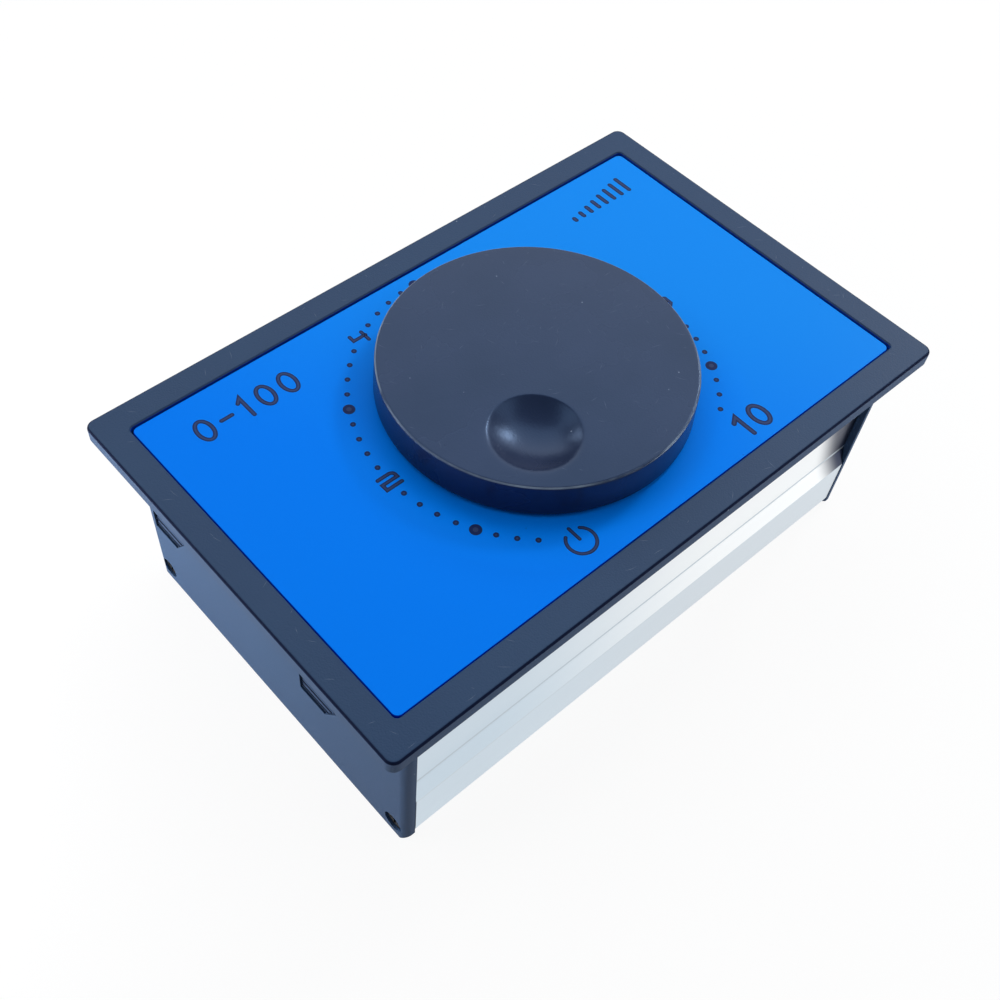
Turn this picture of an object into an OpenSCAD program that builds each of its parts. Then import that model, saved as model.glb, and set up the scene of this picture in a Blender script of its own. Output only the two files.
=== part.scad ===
// Panel-mounted DC motor speed controller with a large dial knob.
// The box stands on the lower edges of its two end walls, at Z = 0, and its face looks along +Z.
// X runs along the long side and Y along the short side, with the origin under the middle of the box.
// All sizes are in millimetres.

/* [Bezel and end walls] */
// Length of the flange along X
flange_w = 115; // [112:0.5:135]
// Depth of the flange along Y
flange_d = 73; // [71:0.5:90]
// Thickness of the flange at its rim
flange_t = 2.8; // [2.6:0.1:4]
// Plan radius of the flange corners
flange_corner_r = 1.6; // [1:0.1:4]
// Radius that rounds the upper edge of the flange
flange_edge_r = 0.5; // [0.3:0.1:0.9]
// Radius that rounds the lower edge of the flange
flange_low_r = 0.3; // [0.2:0.05:0.5]
// Height of the box, from its lower edges to the top of the flange
body_h = 40; // [39:0.5:60]
// Length over the outside of the two end walls
end_span = 104.8; // [102:0.1:108]
// Width of each end wall along Y
end_wall_w = 66.8; // [66.6:0.1:69]
// Thickness of the end walls
end_wall_t = 2; // [1.8:0.1:2.6]
// Radius on the outer upright edges of the end walls
end_wall_edge_r = 1.5; // [0.5:0.1:1.7]
// Chamfer on the lower corners of the end walls
end_wall_chamfer = 1.2; // [0.5:0.1:1.4]
// Width of the flange beside the window, along X
rim_w = 4.8; // [3.6:0.1:7.4]
// Width of the flange beside the window, along Y
rim_d = 4.95; // [3.6:0.05:7.4]
// Plan radius of the window corners
window_corner_r = 0.8; // [0.4:0.1:3]
// Width of the bevel on the window's upper edge
window_bevel = 0.2; // [0.1:0.05:0.3]
// How far the window floor lies below the flange top
window_depth = 2; // [1.6:0.1:2.2]
// Thickness of the plate under the face plate
web_t = 2; // [1.8:0.1:3]

/* [Ratchet pockets] */
// Width of each pocket along Y
pocket_w = 9; // [6:0.5:10]
// Depth of the pockets into the end wall
pocket_depth = 0.9; // [0.5:0.1:1.1]
// Height of the lower edge of the pockets
pocket_low_z = 15; // [12:0.1:20]
// Distance from the upper edge of the pockets to the flange
pocket_top_gap = 4.2; // [3.8:0.1:14]
// Offset along Y of the pocket nearer the corner
pocket_far_y = 26.8; // [24:0.1:27]
// Offset along Y of the pocket nearer the middle
pocket_near_y = 12.7; // [6:0.1:14]
// Height of the ratchet teeth above the pocket floor
tooth_h = 0.65; // [0.3:0.05:0.8]
// Spacing of the ratchet teeth
tooth_pitch = 1.45; // [1.2:0.05:2.5]

/* [Face plate] */
// Thickness of the face plate
face_t = 1.6; // [1:0.1:1.8]
// Plan radius of the face plate's corners
face_corner_r = 1.1; // [0.5:0.1:3]
// Radius that rounds the upper edge of the face plate
face_edge_r = 0.2; // [0.1:0.05:0.3]
// Diameter of the hole in the face plate round the nut
face_hole_d = 13.6; // [13:0.1:18]

/* [Dial] */
// Offset of the knob axis from the middle along X
dial_x = 0.9; // [0:0.1:3]
// Offset of the knob axis from the middle along Y
dial_y = -0.7; // [-1.5:0.1:0.5]

/* [Knob] */
// Diameter of the knob at its foot
knob_d = 50.6; // [46:0.1:56]
// Height of the knob
knob_h = 6; // [5.8:0.1:12]
// How much smaller the top radius is than the foot radius
knob_taper = 0.2; // [0:0.05:0.8]
// Radius that rounds the upper edge of the knob
knob_edge_r = 0.4; // [0.3:0.1:1]
// Gap between the knob and the face plate
knob_gap = 0.6; // [0.4:0.1:1.2]
// Thickness of the knob's top
knob_top_t = 2; // [1.8:0.1:2.2]
// Thickness of the knob's rim
knob_rim_t = 2.2; // [1.6:0.1:4]
// Diameter of the hub that grips the shaft
hub_d = 12; // [10:0.1:14]
// Number of ribs between the hub and the rim
rib_count = 6; // [3:1:8]
// Thickness of the ribs
rib_t = 1.2; // [0.8:0.1:2]
// Diameter of the finger dimple at the surface
dimple_d = 14.4; // [12:0.1:16]
// Depth of the finger dimple
dimple_depth = 2.2; // [1.5:0.1:2.6]
// Distance of the dimple from the knob axis
dimple_r = 14.6; // [14.4:0.1:15]
// Direction of the dimple when the control is switched off, in degrees from +X
dimple_angle = 225; // [0:1:359]

/* [Potentiometer] */
// Diameter of the potentiometer's can
can_d = 16.8; // [15.5:0.1:18]
// Height of the potentiometer's can
can_h = 7.5; // [7.2:0.1:9]
// Wall of the can and of the switch case
can_wall = 0.8; // [0.5:0.1:1]
// Thickness of the bushing plate
plate_t = 1; // [0.8:0.1:1.5]
// Outer diameter of the threaded bushing
bushing_d = 7; // [6.8:0.1:8]
// Length of the threaded bushing above its plate
bushing_h = 5.2; // [5:0.1:5.4]
// Width across the flats of the nut
nut_flats = 10; // [9.5:0.1:11]
// Thickness of the nut
nut_t = 2; // [1.6:0.1:2.2]
// Diameter of the washer
washer_d = 12; // [10.5:0.1:12.8]
// Thickness of the washer
washer_t = 0.5; // [0.4:0.1:0.6]
// Diameter of the shaft
shaft_d = 6; // [5:0.1:6.2]
// Depth of the flat on the shaft
shaft_flat = 1.5; // [1:0.1:1.8]
// Running clearance on the radius of the shaft in the bushing
shaft_play = 0.05; // [0.02:0.01:0.09]
// Height of the switch case behind the can
switch_h = 7.5; // [7.2:0.1:8.5]

/* [Aluminium channel] */
// How far the channel's lower band lies behind the edges of the end walls
channel_setback = 0.1; // [0:0.05:0.2]
// How far the upper band lies behind the lower band
knee_step = 1.1; // [0.7:0.1:1.3]
// Thickness of the channel's wall at its upper band
channel_wall_t = 1.6; // [1.3:0.1:2]
// Thickness of the channel's back
back_t = 2; // [1.8:0.1:2.2]
// Height of the channel's back above the lower edges of the end walls
back_lift = 0.8; // [0.5:0.1:1]
// Height at which the lower band ends and the slope starts
knee_low_z = 12.4; // [10:0.1:14]
// Height at which the slope ends and the upper band starts
knee_high_z = 16.2; // [14.5:0.1:20]
// Radius of the channel's lower outer edges
channel_edge_r = 1.8; // [1:0.1:2]

/* [Case screws] */
// Distance of the case screws from the edges of the end walls
case_screw_inset = 3; // [2.8:0.1:3.2]
// Height of the case screws
case_screw_z = 3.2; // [3.1:0.1:3.4]
// Shank diameter of the case screws
case_screw_d = 2.3; // [2:0.1:2.5]
// Head diameter of the case screws
case_head_d = 3.6; // [3.2:0.1:3.7]
// Length of the case screws under the head
case_screw_l = 8; // [6:0.5:12]

/* [Boards] */
// Thickness of both circuit boards
board_t = 1.6; // [1:0.1:2]
// Gap between the main board's ends and the end walls
board_gap_x = 3.4; // [2.4:0.1:4.4]
// Gap between the main board's sides and the channel's walls
board_gap_y = 1.6; // [0.6:0.1:2.1]
// Length of the standoffs under the main board
standoff_h = 8.5; // [8.3:0.1:9]
// Distance of the standoffs from the main board's ends
standoff_inset_x = 4.6; // [3:0.1:5]
// Distance of the standoffs from the main board's sides
standoff_inset_y = 4.8; // [4.2:0.1:5]
// Width across the flats of the standoffs
standoff_flats = 5; // [4.5:0.1:5.5]
// Side of the square board that carries the potentiometer
pot_board_w = 26; // [25:0.5:28]
// Shank diameter of the board, back and transistor screws
screw_d = 3; // [2.5:0.1:3]
// Diameter of their pan heads
pan_head_d = 5.4; // [5:0.1:5.6]
// Height of their pan heads
pan_head_h = 1.9; // [1.4:0.1:2.4]

/* [Parts on the main board] */
// Diameter of the reservoir capacitors
cap_d = 16; // [12:0.5:16]
// Gap between the reservoir capacitors and the plate above them
cap_top_gap = 3.1; // [2.6:0.1:9]
// Width of a power package
package_w = 10; // [9:0.1:10.4]
// Thickness of a power package
package_t = 4.5; // [4:0.1:4.8]
// Height of a power package without its tab
package_h = 9.2; // [8:0.1:9.6]
// Height of the metal tab above the package
tab_h = 6.4; // [5.8:0.1:6.8]
// Thickness of the metal tab
tab_t = 1.3; // [1:0.1:1.5]
// Length of the legs that show above the board
leg_h = 4; // [2.5:0.1:4.2]
// Thickness of the insulating pads
pad_t = 0.2; // [0.1:0.05:0.3]

/* [Terminal block] */
// Distance of the block's end from the main board's end
block_inset = 4; // [3.5:0.1:4.5]
// Spacing of the terminals
terminal_pitch = 9.5; // [9:0.1:9.6]
// Width of the block along X
block_w = 15; // [14:0.1:16]
// Thickness of the block under the terminal plates
block_base_t = 4.6; // [4.4:0.1:4.8]
// Thickness of the barriers between terminals
barrier_t = 1.4; // [1:0.1:1.8]
// Shank diameter of the terminal screws
terminal_screw_d = 3.5; // [3:0.1:4]
// Head diameter of the terminal screws
terminal_head_d = 6.2; // [5.5:0.1:6.8]

/* [Hidden] */

$fn = 64;
// Overrun of a cut past the surface that it opens
over = 0.5;
// Gap between pieces that are assembled side by side
slack = 0.2;
// Gap round a screw, pin or lead in its hole
hole_play = 0.05;

// Window, cut inside the flange's rim
window_w = flange_w - 2 * rim_w;
window_d = flange_d - 2 * rim_d;

// Heights of the stack, from the flange down to the board that carries the potentiometer
flange_low_z = body_h - flange_t;
window_floor_z = body_h - window_depth;
web_low_z = window_floor_z - web_t;
face_top_z = window_floor_z + face_t;
knob_low_z = face_top_z + knob_gap;
knob_top_z = knob_low_z + knob_h;
plate_low_z = web_low_z - plate_t;
can_low_z = plate_low_z - can_h;
switch_low_z = can_low_z - switch_h;
bushing_top_z = web_low_z + bushing_h;
// Feet of the switch case on its board
switch_foot_h = 0.5;
pot_board_top_z = switch_low_z - switch_foot_h;
pot_board_low_z = pot_board_top_z - board_t;

// Heights of the stack from the back up to the main board
back_in_z = back_lift + back_t;
main_low_z = back_in_z + standoff_h;
main_top_z = main_low_z + board_t;
cap_h = web_low_z - main_top_z - cap_top_gap;

// Ends of the channel between the end walls, and depth of the flange's rebate over its upper edges
flange_rebate = 0.3;
end_in_x = end_span / 2 - end_wall_t;
channel_half = end_in_x - slack;
channel_low_y = end_wall_w / 2 - channel_setback;
channel_up_y = channel_low_y - knee_step;
channel_in_y = channel_up_y - channel_wall_t;
case_screw_y = end_wall_w / 2 - case_screw_inset;
channel_top_z = flange_low_z + flange_rebate - slack;
pocket_h = flange_low_z - pocket_low_z - pocket_top_gap;
web_half_y = channel_in_y - slack;

// Main board inside the box, and what stands at its ends and sides
main_w = 2 * (end_in_x - board_gap_x);
main_d = 2 * (channel_in_y - board_gap_y);
standoff_x = main_w / 2 - standoff_inset_x;
standoff_y = main_d / 2 - standoff_inset_y;
block_x = main_w / 2 - block_inset - block_w / 2;

// Shapes used by several pieces

// Flat outline of a rectangle with true round corners
module rounded_outline(w, d, r) {
    square([w - 2 * r, d], center = true);
    square([w, d - 2 * r], center = true);
    for (sx = [-1, 1], sy = [-1, 1])
        translate([sx * (w / 2 - r), sy * (d / 2 - r)])
            circle(r = r);
}

// Box centred on x and y, standing on z = 0
module post(w, d, h) {
    translate([-w / 2, -d / 2, 0])
        cube([w, d, h]);
}

// Half section of a plate's rim: r wide and h high, with its outer edges rounded by e above and low below
module rim_section(h, r, e, low) {
    translate([0, low])
        square([r, h - e - low]);
    square([r - low, h / 2]);
    translate([0, h / 2])
        square([r - e, h / 2]);
    translate([r - e, h - e])
        circle(r = e);
    if (low > 0)
        translate([r - low, low])
            circle(r = low);
}

// Plate from z = 0 up to h, with round corners and rounded outer edges
module rounded_plate(w, d, h, r, e, low) {
    post(w - 2 * r, d - 2 * r, h);
    for (a = [0, 180])
        rotate([0, 0, a]) {
            translate([r - w / 2, d / 2 - r, 0])
                rotate([90, 0, 90])
                    linear_extrude(w - 2 * r)
                        rim_section(h, r, e, low);
            translate([w / 2 - r, d / 2 - r, 0])
                rotate([90, 0, 0])
                    linear_extrude(d - 2 * r)
                        rim_section(h, r, e, low);
        }
    for (sx = [-1, 1], sy = [-1, 1])
        translate([sx * (w / 2 - r), sy * (d / 2 - r), 0])
            rotate_extrude()
                rim_section(h, r, e, low);
}

// Rectangle with round corners that grows by b on every side as it rises by b from z = 0
module flared_outline(w, d, r, b) {
    translate([r - w / 2, 0, 0])
        rotate([90, 0, 90])
            linear_extrude(w - 2 * r)
                polygon([[-d / 2, 0], [d / 2, 0], [d / 2 + b, b], [-d / 2 - b, b]]);
    translate([0, d / 2 - r, 0])
        rotate([90, 0, 0])
            linear_extrude(d - 2 * r)
                polygon([[-w / 2, 0], [w / 2, 0], [w / 2 + b, b], [-w / 2 - b, b]]);
    for (sx = [-1, 1], sy = [-1, 1])
        translate([sx * (w / 2 - r), sy * (d / 2 - r), 0])
            cylinder(r1 = r, r2 = r + b, h = b);
}

// Puts its children on the knob axis
module on_axis() {
    translate([dial_x, dial_y, 0])
        children();
}

// Bar that stands on z = 0 with a hexagonal section of the given width across its flats
module hex_bar(flats, h) {
    cylinder(d = flats / cos(30), h = h, $fn = 6);
}

// Bezel with its two end walls

// Length of the stiffening gussets inside the end walls, and their thickness
gusset_l = 5;
gusset_t = 1.5;
// Places of the gussets along Y, as shares of the half web width
gusset_shares = [-0.62, 0, 0.62];
// Depth of the counterbore for a case screw head, and how deep the head lies
case_bore_depth = 1.3;
case_head_sink = 0.4;
// Distance from the knob axis of the tab that stops the potentiometer turning, and its size
tab_r = 7.6;
tab_w = 2.6;
tab_thick = 1;
// How far the tab reaches into the web, as a share of its thickness
tab_share = 0.8;
// Flat of each ratchet tooth, as a share of their spacing
tooth_land_share = 1 / 3;
// Slant of the pocket's lower corner, along Y and along Z
pocket_slant_y = 3;
pocket_slant_z = 4;

module end_wall_outline() {
    c = end_wall_chamfer;
    w = end_wall_w / 2;
    polygon([
        [-w, c], [-w + c, 0], [w - c, 0], [w, c],
        [w, flange_low_z + over], [-w, flange_low_z + over]
    ]);
}

// Outline of a pocket along Y and Z, with its slanted lower corner on the -Y side
module pocket_outline() {
    w = pocket_w / 2;
    polygon([
        [w, 0], [w, pocket_h], [-w, pocket_h],
        [-w, pocket_slant_z], [pocket_slant_y - w, 0]
    ]);
}

// Stands an outline drawn along Y and Z upright, with its thickness along +X
module upright(t) {
    rotate([90, 0, 90])
        linear_extrude(t)
            children();
}

module pocket_prism(t) {
    translate([end_span / 2 - pocket_depth, 0, pocket_low_z])
        upright(t)
            pocket_outline();
}

module pocket_teeth() {
    floor_x = end_span / 2 - pocket_depth;
    count = floor(pocket_h / tooth_pitch);
    land = tooth_pitch * tooth_land_share;
    intersection() {
        pocket_prism(pocket_depth);
        for (i = [0 : count - 1])
            translate([floor_x, -pocket_w / 2, pocket_low_z + i * tooth_pitch])
                rotate([-90, 0, 0])
                    mirror([0, 1, 0])
                        linear_extrude(pocket_w)
                            polygon([[0, land], [tooth_h, land], [0, tooth_pitch]]);
    }
}

// The wall at +X; the other one is the same wall turned half a turn about Z
module end_wall() {
    pocket_ys = [-pocket_far_y, pocket_near_y];
    x = end_span / 2;
    difference() {
        intersection() {
            translate([x - end_wall_t, 0, 0])
                upright(end_wall_t)
                    end_wall_outline();
            linear_extrude(flange_low_z + over)
                rounded_outline(end_span, end_wall_w, end_wall_edge_r);
        }
        for (y = pocket_ys)
            translate([0, y, 0])
                mirror([0, 1, 0])
                    pocket_prism(pocket_depth + over);
        for (s = [-1, 1])
            translate([x, s * case_screw_y, case_screw_z])
                rotate([0, 90, 0]) {
                    cylinder(d = case_screw_d + 2 * slack, h = 2 * end_wall_t + over, center = true);
                    translate([0, 0, -case_bore_depth])
                        cylinder(d = case_head_d + slack, h = case_bore_depth + over);
                }
    }
    for (y = pocket_ys)
        translate([0, y, 0])
            mirror([0, 1, 0])
                pocket_teeth();
    for (s = gusset_shares)
        translate([end_in_x, s * web_half_y + gusset_t / 2, web_low_z])
            rotate([90, 0, 0])
                linear_extrude(gusset_t)
                    polygon([
                        [over, over], [-gusset_l, over], [-gusset_l, 0], [0, -gusset_l], [over, -gusset_l]
                    ]);
}

module bezel() {
    color("#262c38") {
        difference() {
            union() {
                translate([0, 0, flange_low_z])
                    rounded_plate(flange_w, flange_d, flange_t,
                        flange_corner_r, flange_edge_r, flange_low_r);
                translate([0, 0, web_low_z])
                    post(2 * end_in_x + end_wall_t, 2 * web_half_y, flange_low_z - web_low_z + over);
            }
            translate([0, 0, window_floor_z])
                linear_extrude(window_depth + over)
                    rounded_outline(window_w, window_d, window_corner_r);
            translate([0, 0, body_h - window_bevel])
                flared_outline(window_w, window_d, window_corner_r, window_bevel);
            for (m = [0, 1])
                mirror([0, m, 0])
                    translate([-end_in_x, web_half_y, flange_low_z - over])
                        cube([2 * end_in_x, end_wall_w / 2 - web_half_y, flange_rebate + over]);
            on_axis() {
                translate([0, 0, web_low_z - over])
                    cylinder(d = bushing_d + slack, h = web_t + 2 * over);
                translate([0, tab_r, web_low_z - over])
                    post(tab_w + slack, tab_thick + slack, web_t + 2 * over);
            }
        }
        end_wall();
        rotate([0, 0, 180])
            end_wall();
    }
}

// Face plate

module face_plate() {
    gap = 2 * slack;
    color("#0a78ee")
        translate([0, 0, window_floor_z])
            difference() {
                rounded_plate(window_w - gap, window_d - gap, face_t, face_corner_r, face_edge_r, 0);
                translate([dial_x, dial_y, -over])
                    cylinder(d = face_hole_d, h = face_t + 2 * over);
            }
}

// Aluminium channel

// Number of facets on the rounded lower edge
edge_steps = 8;
// Radius of the round boss that holds each case screw, and bore of the screw in it
boss_r = 2.3;
// Height of the transistor screws above the main board, at the middle of their tabs
tab_screw_z = main_top_z + leg_h + package_h + tab_h / 2;
// Depth and diameter of the countersinks for the back screws
sink_depth = 1.7;
sink_d = 5.8;
// Free space round the terminal block in the channel's back, across it and at the side of the wires
block_margin = 1.2;
wire_margin = 4;
// Places of the power packages along X, as shares of half the main board's length
package_x_shares = [-0.74, -0.48, -0.22, 0.3, 0.56];

block_l = 4 * terminal_pitch + barrier_t;

function package_x(i) = package_x_shares[i] * main_w / 2;

// Points of a quarter circle about [y, z], from angle a to angle a + 90
function quarter(y, z, r, a) = [for (i = [0 : edge_steps]) [y + r * cos(a + 90 * i / edge_steps),
    z + r * sin(a + 90 * i / edge_steps)]];

// Half of the channel's section at +Y
module channel_side() {
    polygon(concat(
        [[-over, back_in_z], [channel_in_y, back_in_z], [channel_in_y, channel_top_z]],
        [[channel_up_y, channel_top_z], [channel_up_y, knee_high_z], [channel_low_y, knee_low_z]],
        [for (i = [0 : edge_steps]) quarter(channel_low_y - channel_edge_r, back_lift + channel_edge_r,
            channel_edge_r, -90)[edge_steps - i]],
        [[-over, back_lift]]
    ));
}

// Round bars along X on the axes of the case screws
module case_screw_bars(r, l) {
    for (s = [-1, 1])
        translate([0, s * case_screw_y, case_screw_z])
            rotate([0, 90, 0])
                cylinder(r = r, h = l, center = true);
}

module channel() {
    color("#d5dade")
        difference() {
            union() {
                for (m = [0, 1])
                    mirror([0, m, 0])
                        translate([-channel_half, 0, 0])
                            upright(2 * channel_half)
                                channel_side();
                case_screw_bars(boss_r, 2 * channel_half);
            }
            case_screw_bars(case_screw_d / 2 + hole_play, 2 * channel_half + over);
            for (sx = [-1, 1], sy = [-1, 1])
                translate([sx * standoff_x, sy * standoff_y, 0]) {
                    cylinder(d = screw_d + 2 * slack, h = back_in_z + over);
                    translate([0, 0, back_lift])
                        cylinder(d1 = sink_d + slack, d2 = screw_d + slack, h = sink_depth);
                }
            translate([block_x + (wire_margin - block_margin) / 2, 0, 0])
                post(block_w + block_margin + wire_margin, block_l + 2 * block_margin, back_in_z + over);
            for (i = [0 : len(package_x_shares) - 1])
                translate([package_x(i), channel_in_y - over, tab_screw_z])
                    rotate([-90, 0, 0])
                        cylinder(d = screw_d + 2 * hole_play, h = channel_up_y - channel_in_y + 2 * over);
        }
}

// Case screws

// Height of their heads, and size of the cross recess
case_head_h = case_bore_depth - case_head_sink;
cross_l = 2;
cross_t = 0.45;
cross_depth = 0.5;

module cross_recess(l, t, depth) {
    for (a = [0, 90])
        rotate([0, 0, a])
            translate([0, 0, -depth])
                post(l, t, depth + over);
}

// Screw that points along -Z from its head, with the top of the head at z = 0
module pan_screw(shank_d, head_d, head_h, l, recess_l, recess_t, recess_depth) {
    difference() {
        translate([0, 0, -head_h])
            cylinder(d = head_d, h = head_h);
        cross_recess(recess_l, recess_t, recess_depth);
    }
    translate([0, 0, -head_h - l])
        cylinder(d = shank_d, h = l);
}

module case_screws() {
    head_top_x = end_span / 2 - case_head_sink;
    color("#1c1d20")
        for (a = [0, 180], s = [-1, 1])
            rotate([0, 0, a])
                translate([head_top_x, s * case_screw_y, case_screw_z])
                    rotate([0, 90, 0])
                        pan_screw(case_screw_d, case_head_d, case_head_h, case_screw_l,
                            cross_l, cross_t, cross_depth);
}

// Knob

// Thickness left of the pad under the dimple, and its margin round the dimple
pad_floor = 0.8;
pad_margin = 1;
// Thickness above the shaft's bore, and how far the hub stays above the bushing
bore_roof = 1.2;
hub_lift = 0.4;
// Width of the foot's bevel
knob_foot = 0.3;

bore_top_z = knob_top_z - bore_roof;
shaft_top_z = bore_top_z - slack;
hub_low_z = bushing_top_z + hub_lift;
knob_under_z = knob_top_z - knob_top_t;
rib_low_z = hub_low_z;

// Radius of the sphere that cuts the dimple
function dimple_sphere_r() = (pow(dimple_d / 2, 2) + pow(dimple_depth, 2)) / (2 * dimple_depth);

// Section of the knob's shell, turned about the axis
module knob_section() {
    r = knob_d / 2;
    e = knob_edge_r;
    top_r = r - knob_taper;
    difference() {
        union() {
            polygon([
                [0, 0], [r - knob_foot, 0], [r, knob_foot],
                [top_r, knob_h - e], [top_r - e, knob_h - e], [top_r - e, knob_h], [0, knob_h]
            ]);
            translate([top_r - e, knob_h - e])
                circle(r = e);
        }
        translate([-over, -over])
            square([r - knob_rim_t + over, knob_h - knob_top_t + over]);
    }
}

// Room for a shaft with a flat, grown by g on every side
module shaft_outline(g) {
    r = shaft_d / 2 + g;
    difference() {
        circle(r = r);
        translate([-r, shaft_d / 2 - shaft_flat + g])
            square([2 * r, r]);
    }
}

module knob_solid() {
    translate([0, 0, knob_low_z])
        rotate_extrude($fn = 180)
            knob_section();
    translate([0, 0, hub_low_z])
        cylinder(d = hub_d, h = knob_top_z - hub_low_z - knob_top_t / 2);
    for (i = [0 : rib_count - 1])
        rotate([0, 0, i * 360 / rib_count])
            translate([hub_d / 2 - rib_t, -rib_t / 2, rib_low_z])
                cube([(knob_d - hub_d - knob_rim_t) / 2, rib_t, knob_under_z - rib_low_z + over]);
    pad_low = knob_top_z - dimple_depth - pad_floor - knob_top_t / 2;
    translate([dimple_r, 0, pad_low])
        cylinder(d = dimple_d + 2 * pad_margin, h = knob_under_z - pad_low + over);
}

module knob() {
    ball_r = dimple_sphere_r();
    color("#1e2330")
        on_axis()
            rotate([0, 0, dimple_angle])
                difference() {
                    knob_solid();
                    translate([dimple_r, 0, knob_top_z + ball_r - dimple_depth])
                        sphere(r = ball_r, $fn = 120);
                    translate([0, 0, hub_low_z - over])
                        linear_extrude(bore_top_z - hub_low_z + over)
                            shaft_outline(hole_play);
                }
}

// Potentiometer

// Radial clearance of the nut and washer on the thread
thread_play = 0.06;
// Shoulder under the bushing plate
shoulder_d = 8.6;
shoulder_h = 1.2;
shoulder_gap = 0.3;
// Tenon that carries the rotor down into the switch
tenon_d = 4.4;
// Rotor that carries the wiper
rotor_d = 13;
rotor_t = 1.3;
// Resistive track
track_d = 14.6;
track_hole_d = 6;
track_t = 0.8;
track_lift = 0.6;
tongue_w = 14;
tongue_l = 3.4;
// Lugs
lug_pitch = 5;
lug_w = 1.6;
lug_t = 0.4;
// Cam lug that works the switch
cam_r = 4.9;
cam_t = 1.3;
cam_w = 2.4;

shoulder_top_z = plate_low_z - shoulder_gap;
shoulder_low_z = shoulder_top_z - shoulder_h;
rotor_low_z = shoulder_low_z - rotor_t;
track_low_z = can_low_z + track_lift;
track_top_z = track_low_z + track_t;
cam_top_z = can_low_z - slack;
cam_low_z = cam_top_z - cam_t;

module pot_shaft() {
    flat_low_z = bushing_top_z - shaft_flat;
    color("#c9ccd0")
        on_axis()
            rotate([0, 0, dimple_angle]) {
                translate([0, 0, shoulder_top_z - over])
                    cylinder(d = shaft_d, h = flat_low_z - shoulder_top_z + over);
                translate([0, 0, flat_low_z])
                    linear_extrude(shaft_top_z - flat_low_z)
                        shaft_outline(0);
                translate([0, 0, shoulder_low_z])
                    cylinder(d = shoulder_d, h = shoulder_h);
                translate([0, 0, cam_low_z])
                    cylinder(d = tenon_d, h = shoulder_low_z - cam_low_z + over);
                translate([0, -cam_w / 2, cam_low_z])
                    cube([cam_r, cam_w, cam_t]);
            }
}

module pot_rotor() {
    color("#6b4a2c")
        on_axis()
            translate([0, 0, rotor_low_z])
                difference() {
                    cylinder(d = rotor_d, h = rotor_t);
                    translate([0, 0, -over])
                        cylinder(d = tenon_d + 2 * hole_play, h = rotor_t + 2 * over);
                }
}

// Thickness of the wiper's metal, width of its fingers and radii that they sweep
wiper_t = 0.3;
finger_w = 1.2;
finger_radii = [4.3, 6];
// Gap between the wiper's tips and the track
wiper_gap = 0.25;
// Length of a finger along the track, as a share of its drop
finger_run_share = 1.4;

module wiper() {
    drop = rotor_low_z - wiper_t - track_top_z - wiper_gap;
    run = drop * finger_run_share;
    slope = atan2(drop, run);
    length = sqrt(drop * drop + run * run) - wiper_t;
    color("#c8a24a")
        on_axis()
            rotate([0, 0, dimple_angle]) {
                translate([0, 0, rotor_low_z - wiper_t])
                    difference() {
                        cylinder(d = rotor_d - finger_w, h = wiper_t);
                        translate([0, 0, -over])
                            cylinder(d = tenon_d + 2 * hole_play, h = wiper_t + 2 * over);
                    }
                for (r = finger_radii)
                    translate([r, -run / 2, rotor_low_z - wiper_t])
                        rotate([-slope, 0, 0])
                            translate([-finger_w / 2, 0, 0])
                                cube([finger_w, length, wiper_t]);
            }
}

module pot_bushing_plate() {
    color("#b9b3a4")
        on_axis()
            difference() {
                union() {
                    translate([0, 0, plate_low_z])
                        cylinder(d = can_d, h = plate_t);
                    translate([0, 0, web_low_z - plate_t / 2])
                        cylinder(d = bushing_d, h = bushing_h + plate_t / 2);
                    translate([0, tab_r, web_low_z - plate_t / 2])
                        post(tab_w, tab_thick, web_t * tab_share + plate_t / 2);
                }
                translate([0, 0, plate_low_z - over])
                    cylinder(d = shaft_d + 2 * shaft_play, h = plate_t + bushing_h + 2 * over);
            }
}

module pot_washer() {
    color("#c4c6c8")
        on_axis()
            translate([0, 0, window_floor_z])
                difference() {
                    cylinder(d = washer_d, h = washer_t);
                    translate([0, 0, -over])
                        cylinder(d = bushing_d + 2 * thread_play, h = washer_t + 2 * over);
                }
}

module pot_nut() {
    color("#c4c6c8")
        on_axis()
            translate([0, 0, window_floor_z + washer_t])
                difference() {
                    hex_bar(nut_flats, nut_t);
                    translate([0, 0, -over])
                        cylinder(d = bushing_d + 2 * thread_play, h = nut_t + 2 * over);
                }
}

// Height of the window in the can that the track's tongue passes through
tongue_play = 0.15;

module pot_can() {
    color("#a9adb2")
        on_axis()
            translate([0, 0, can_low_z])
                difference() {
                    cylinder(d = can_d, h = can_h);
                    translate([0, 0, track_lift])
                        cylinder(d = can_d - 2 * can_wall, h = can_h);
                    translate([0, 0, -over])
                        cylinder(d = tenon_d + 2 * slack, h = track_lift + 2 * over);
                    translate([0, -can_d / 2, track_lift])
                        post(tongue_w + 2 * tongue_play, can_d, track_t + tongue_play);
                }
}

module resistive_track() {
    tongue_y = can_d / 2 + tongue_l;
    color("#4a2f1c")
        on_axis()
            translate([0, 0, track_low_z])
                difference() {
                    union() {
                        cylinder(d = track_d, h = track_t);
                        translate([0, -tongue_y / 2, 0])
                            post(tongue_w, tongue_y, track_t);
                    }
                    translate([0, 0, -over])
                        cylinder(d = track_hole_d, h = track_t + 2 * over);
                }
}

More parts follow.
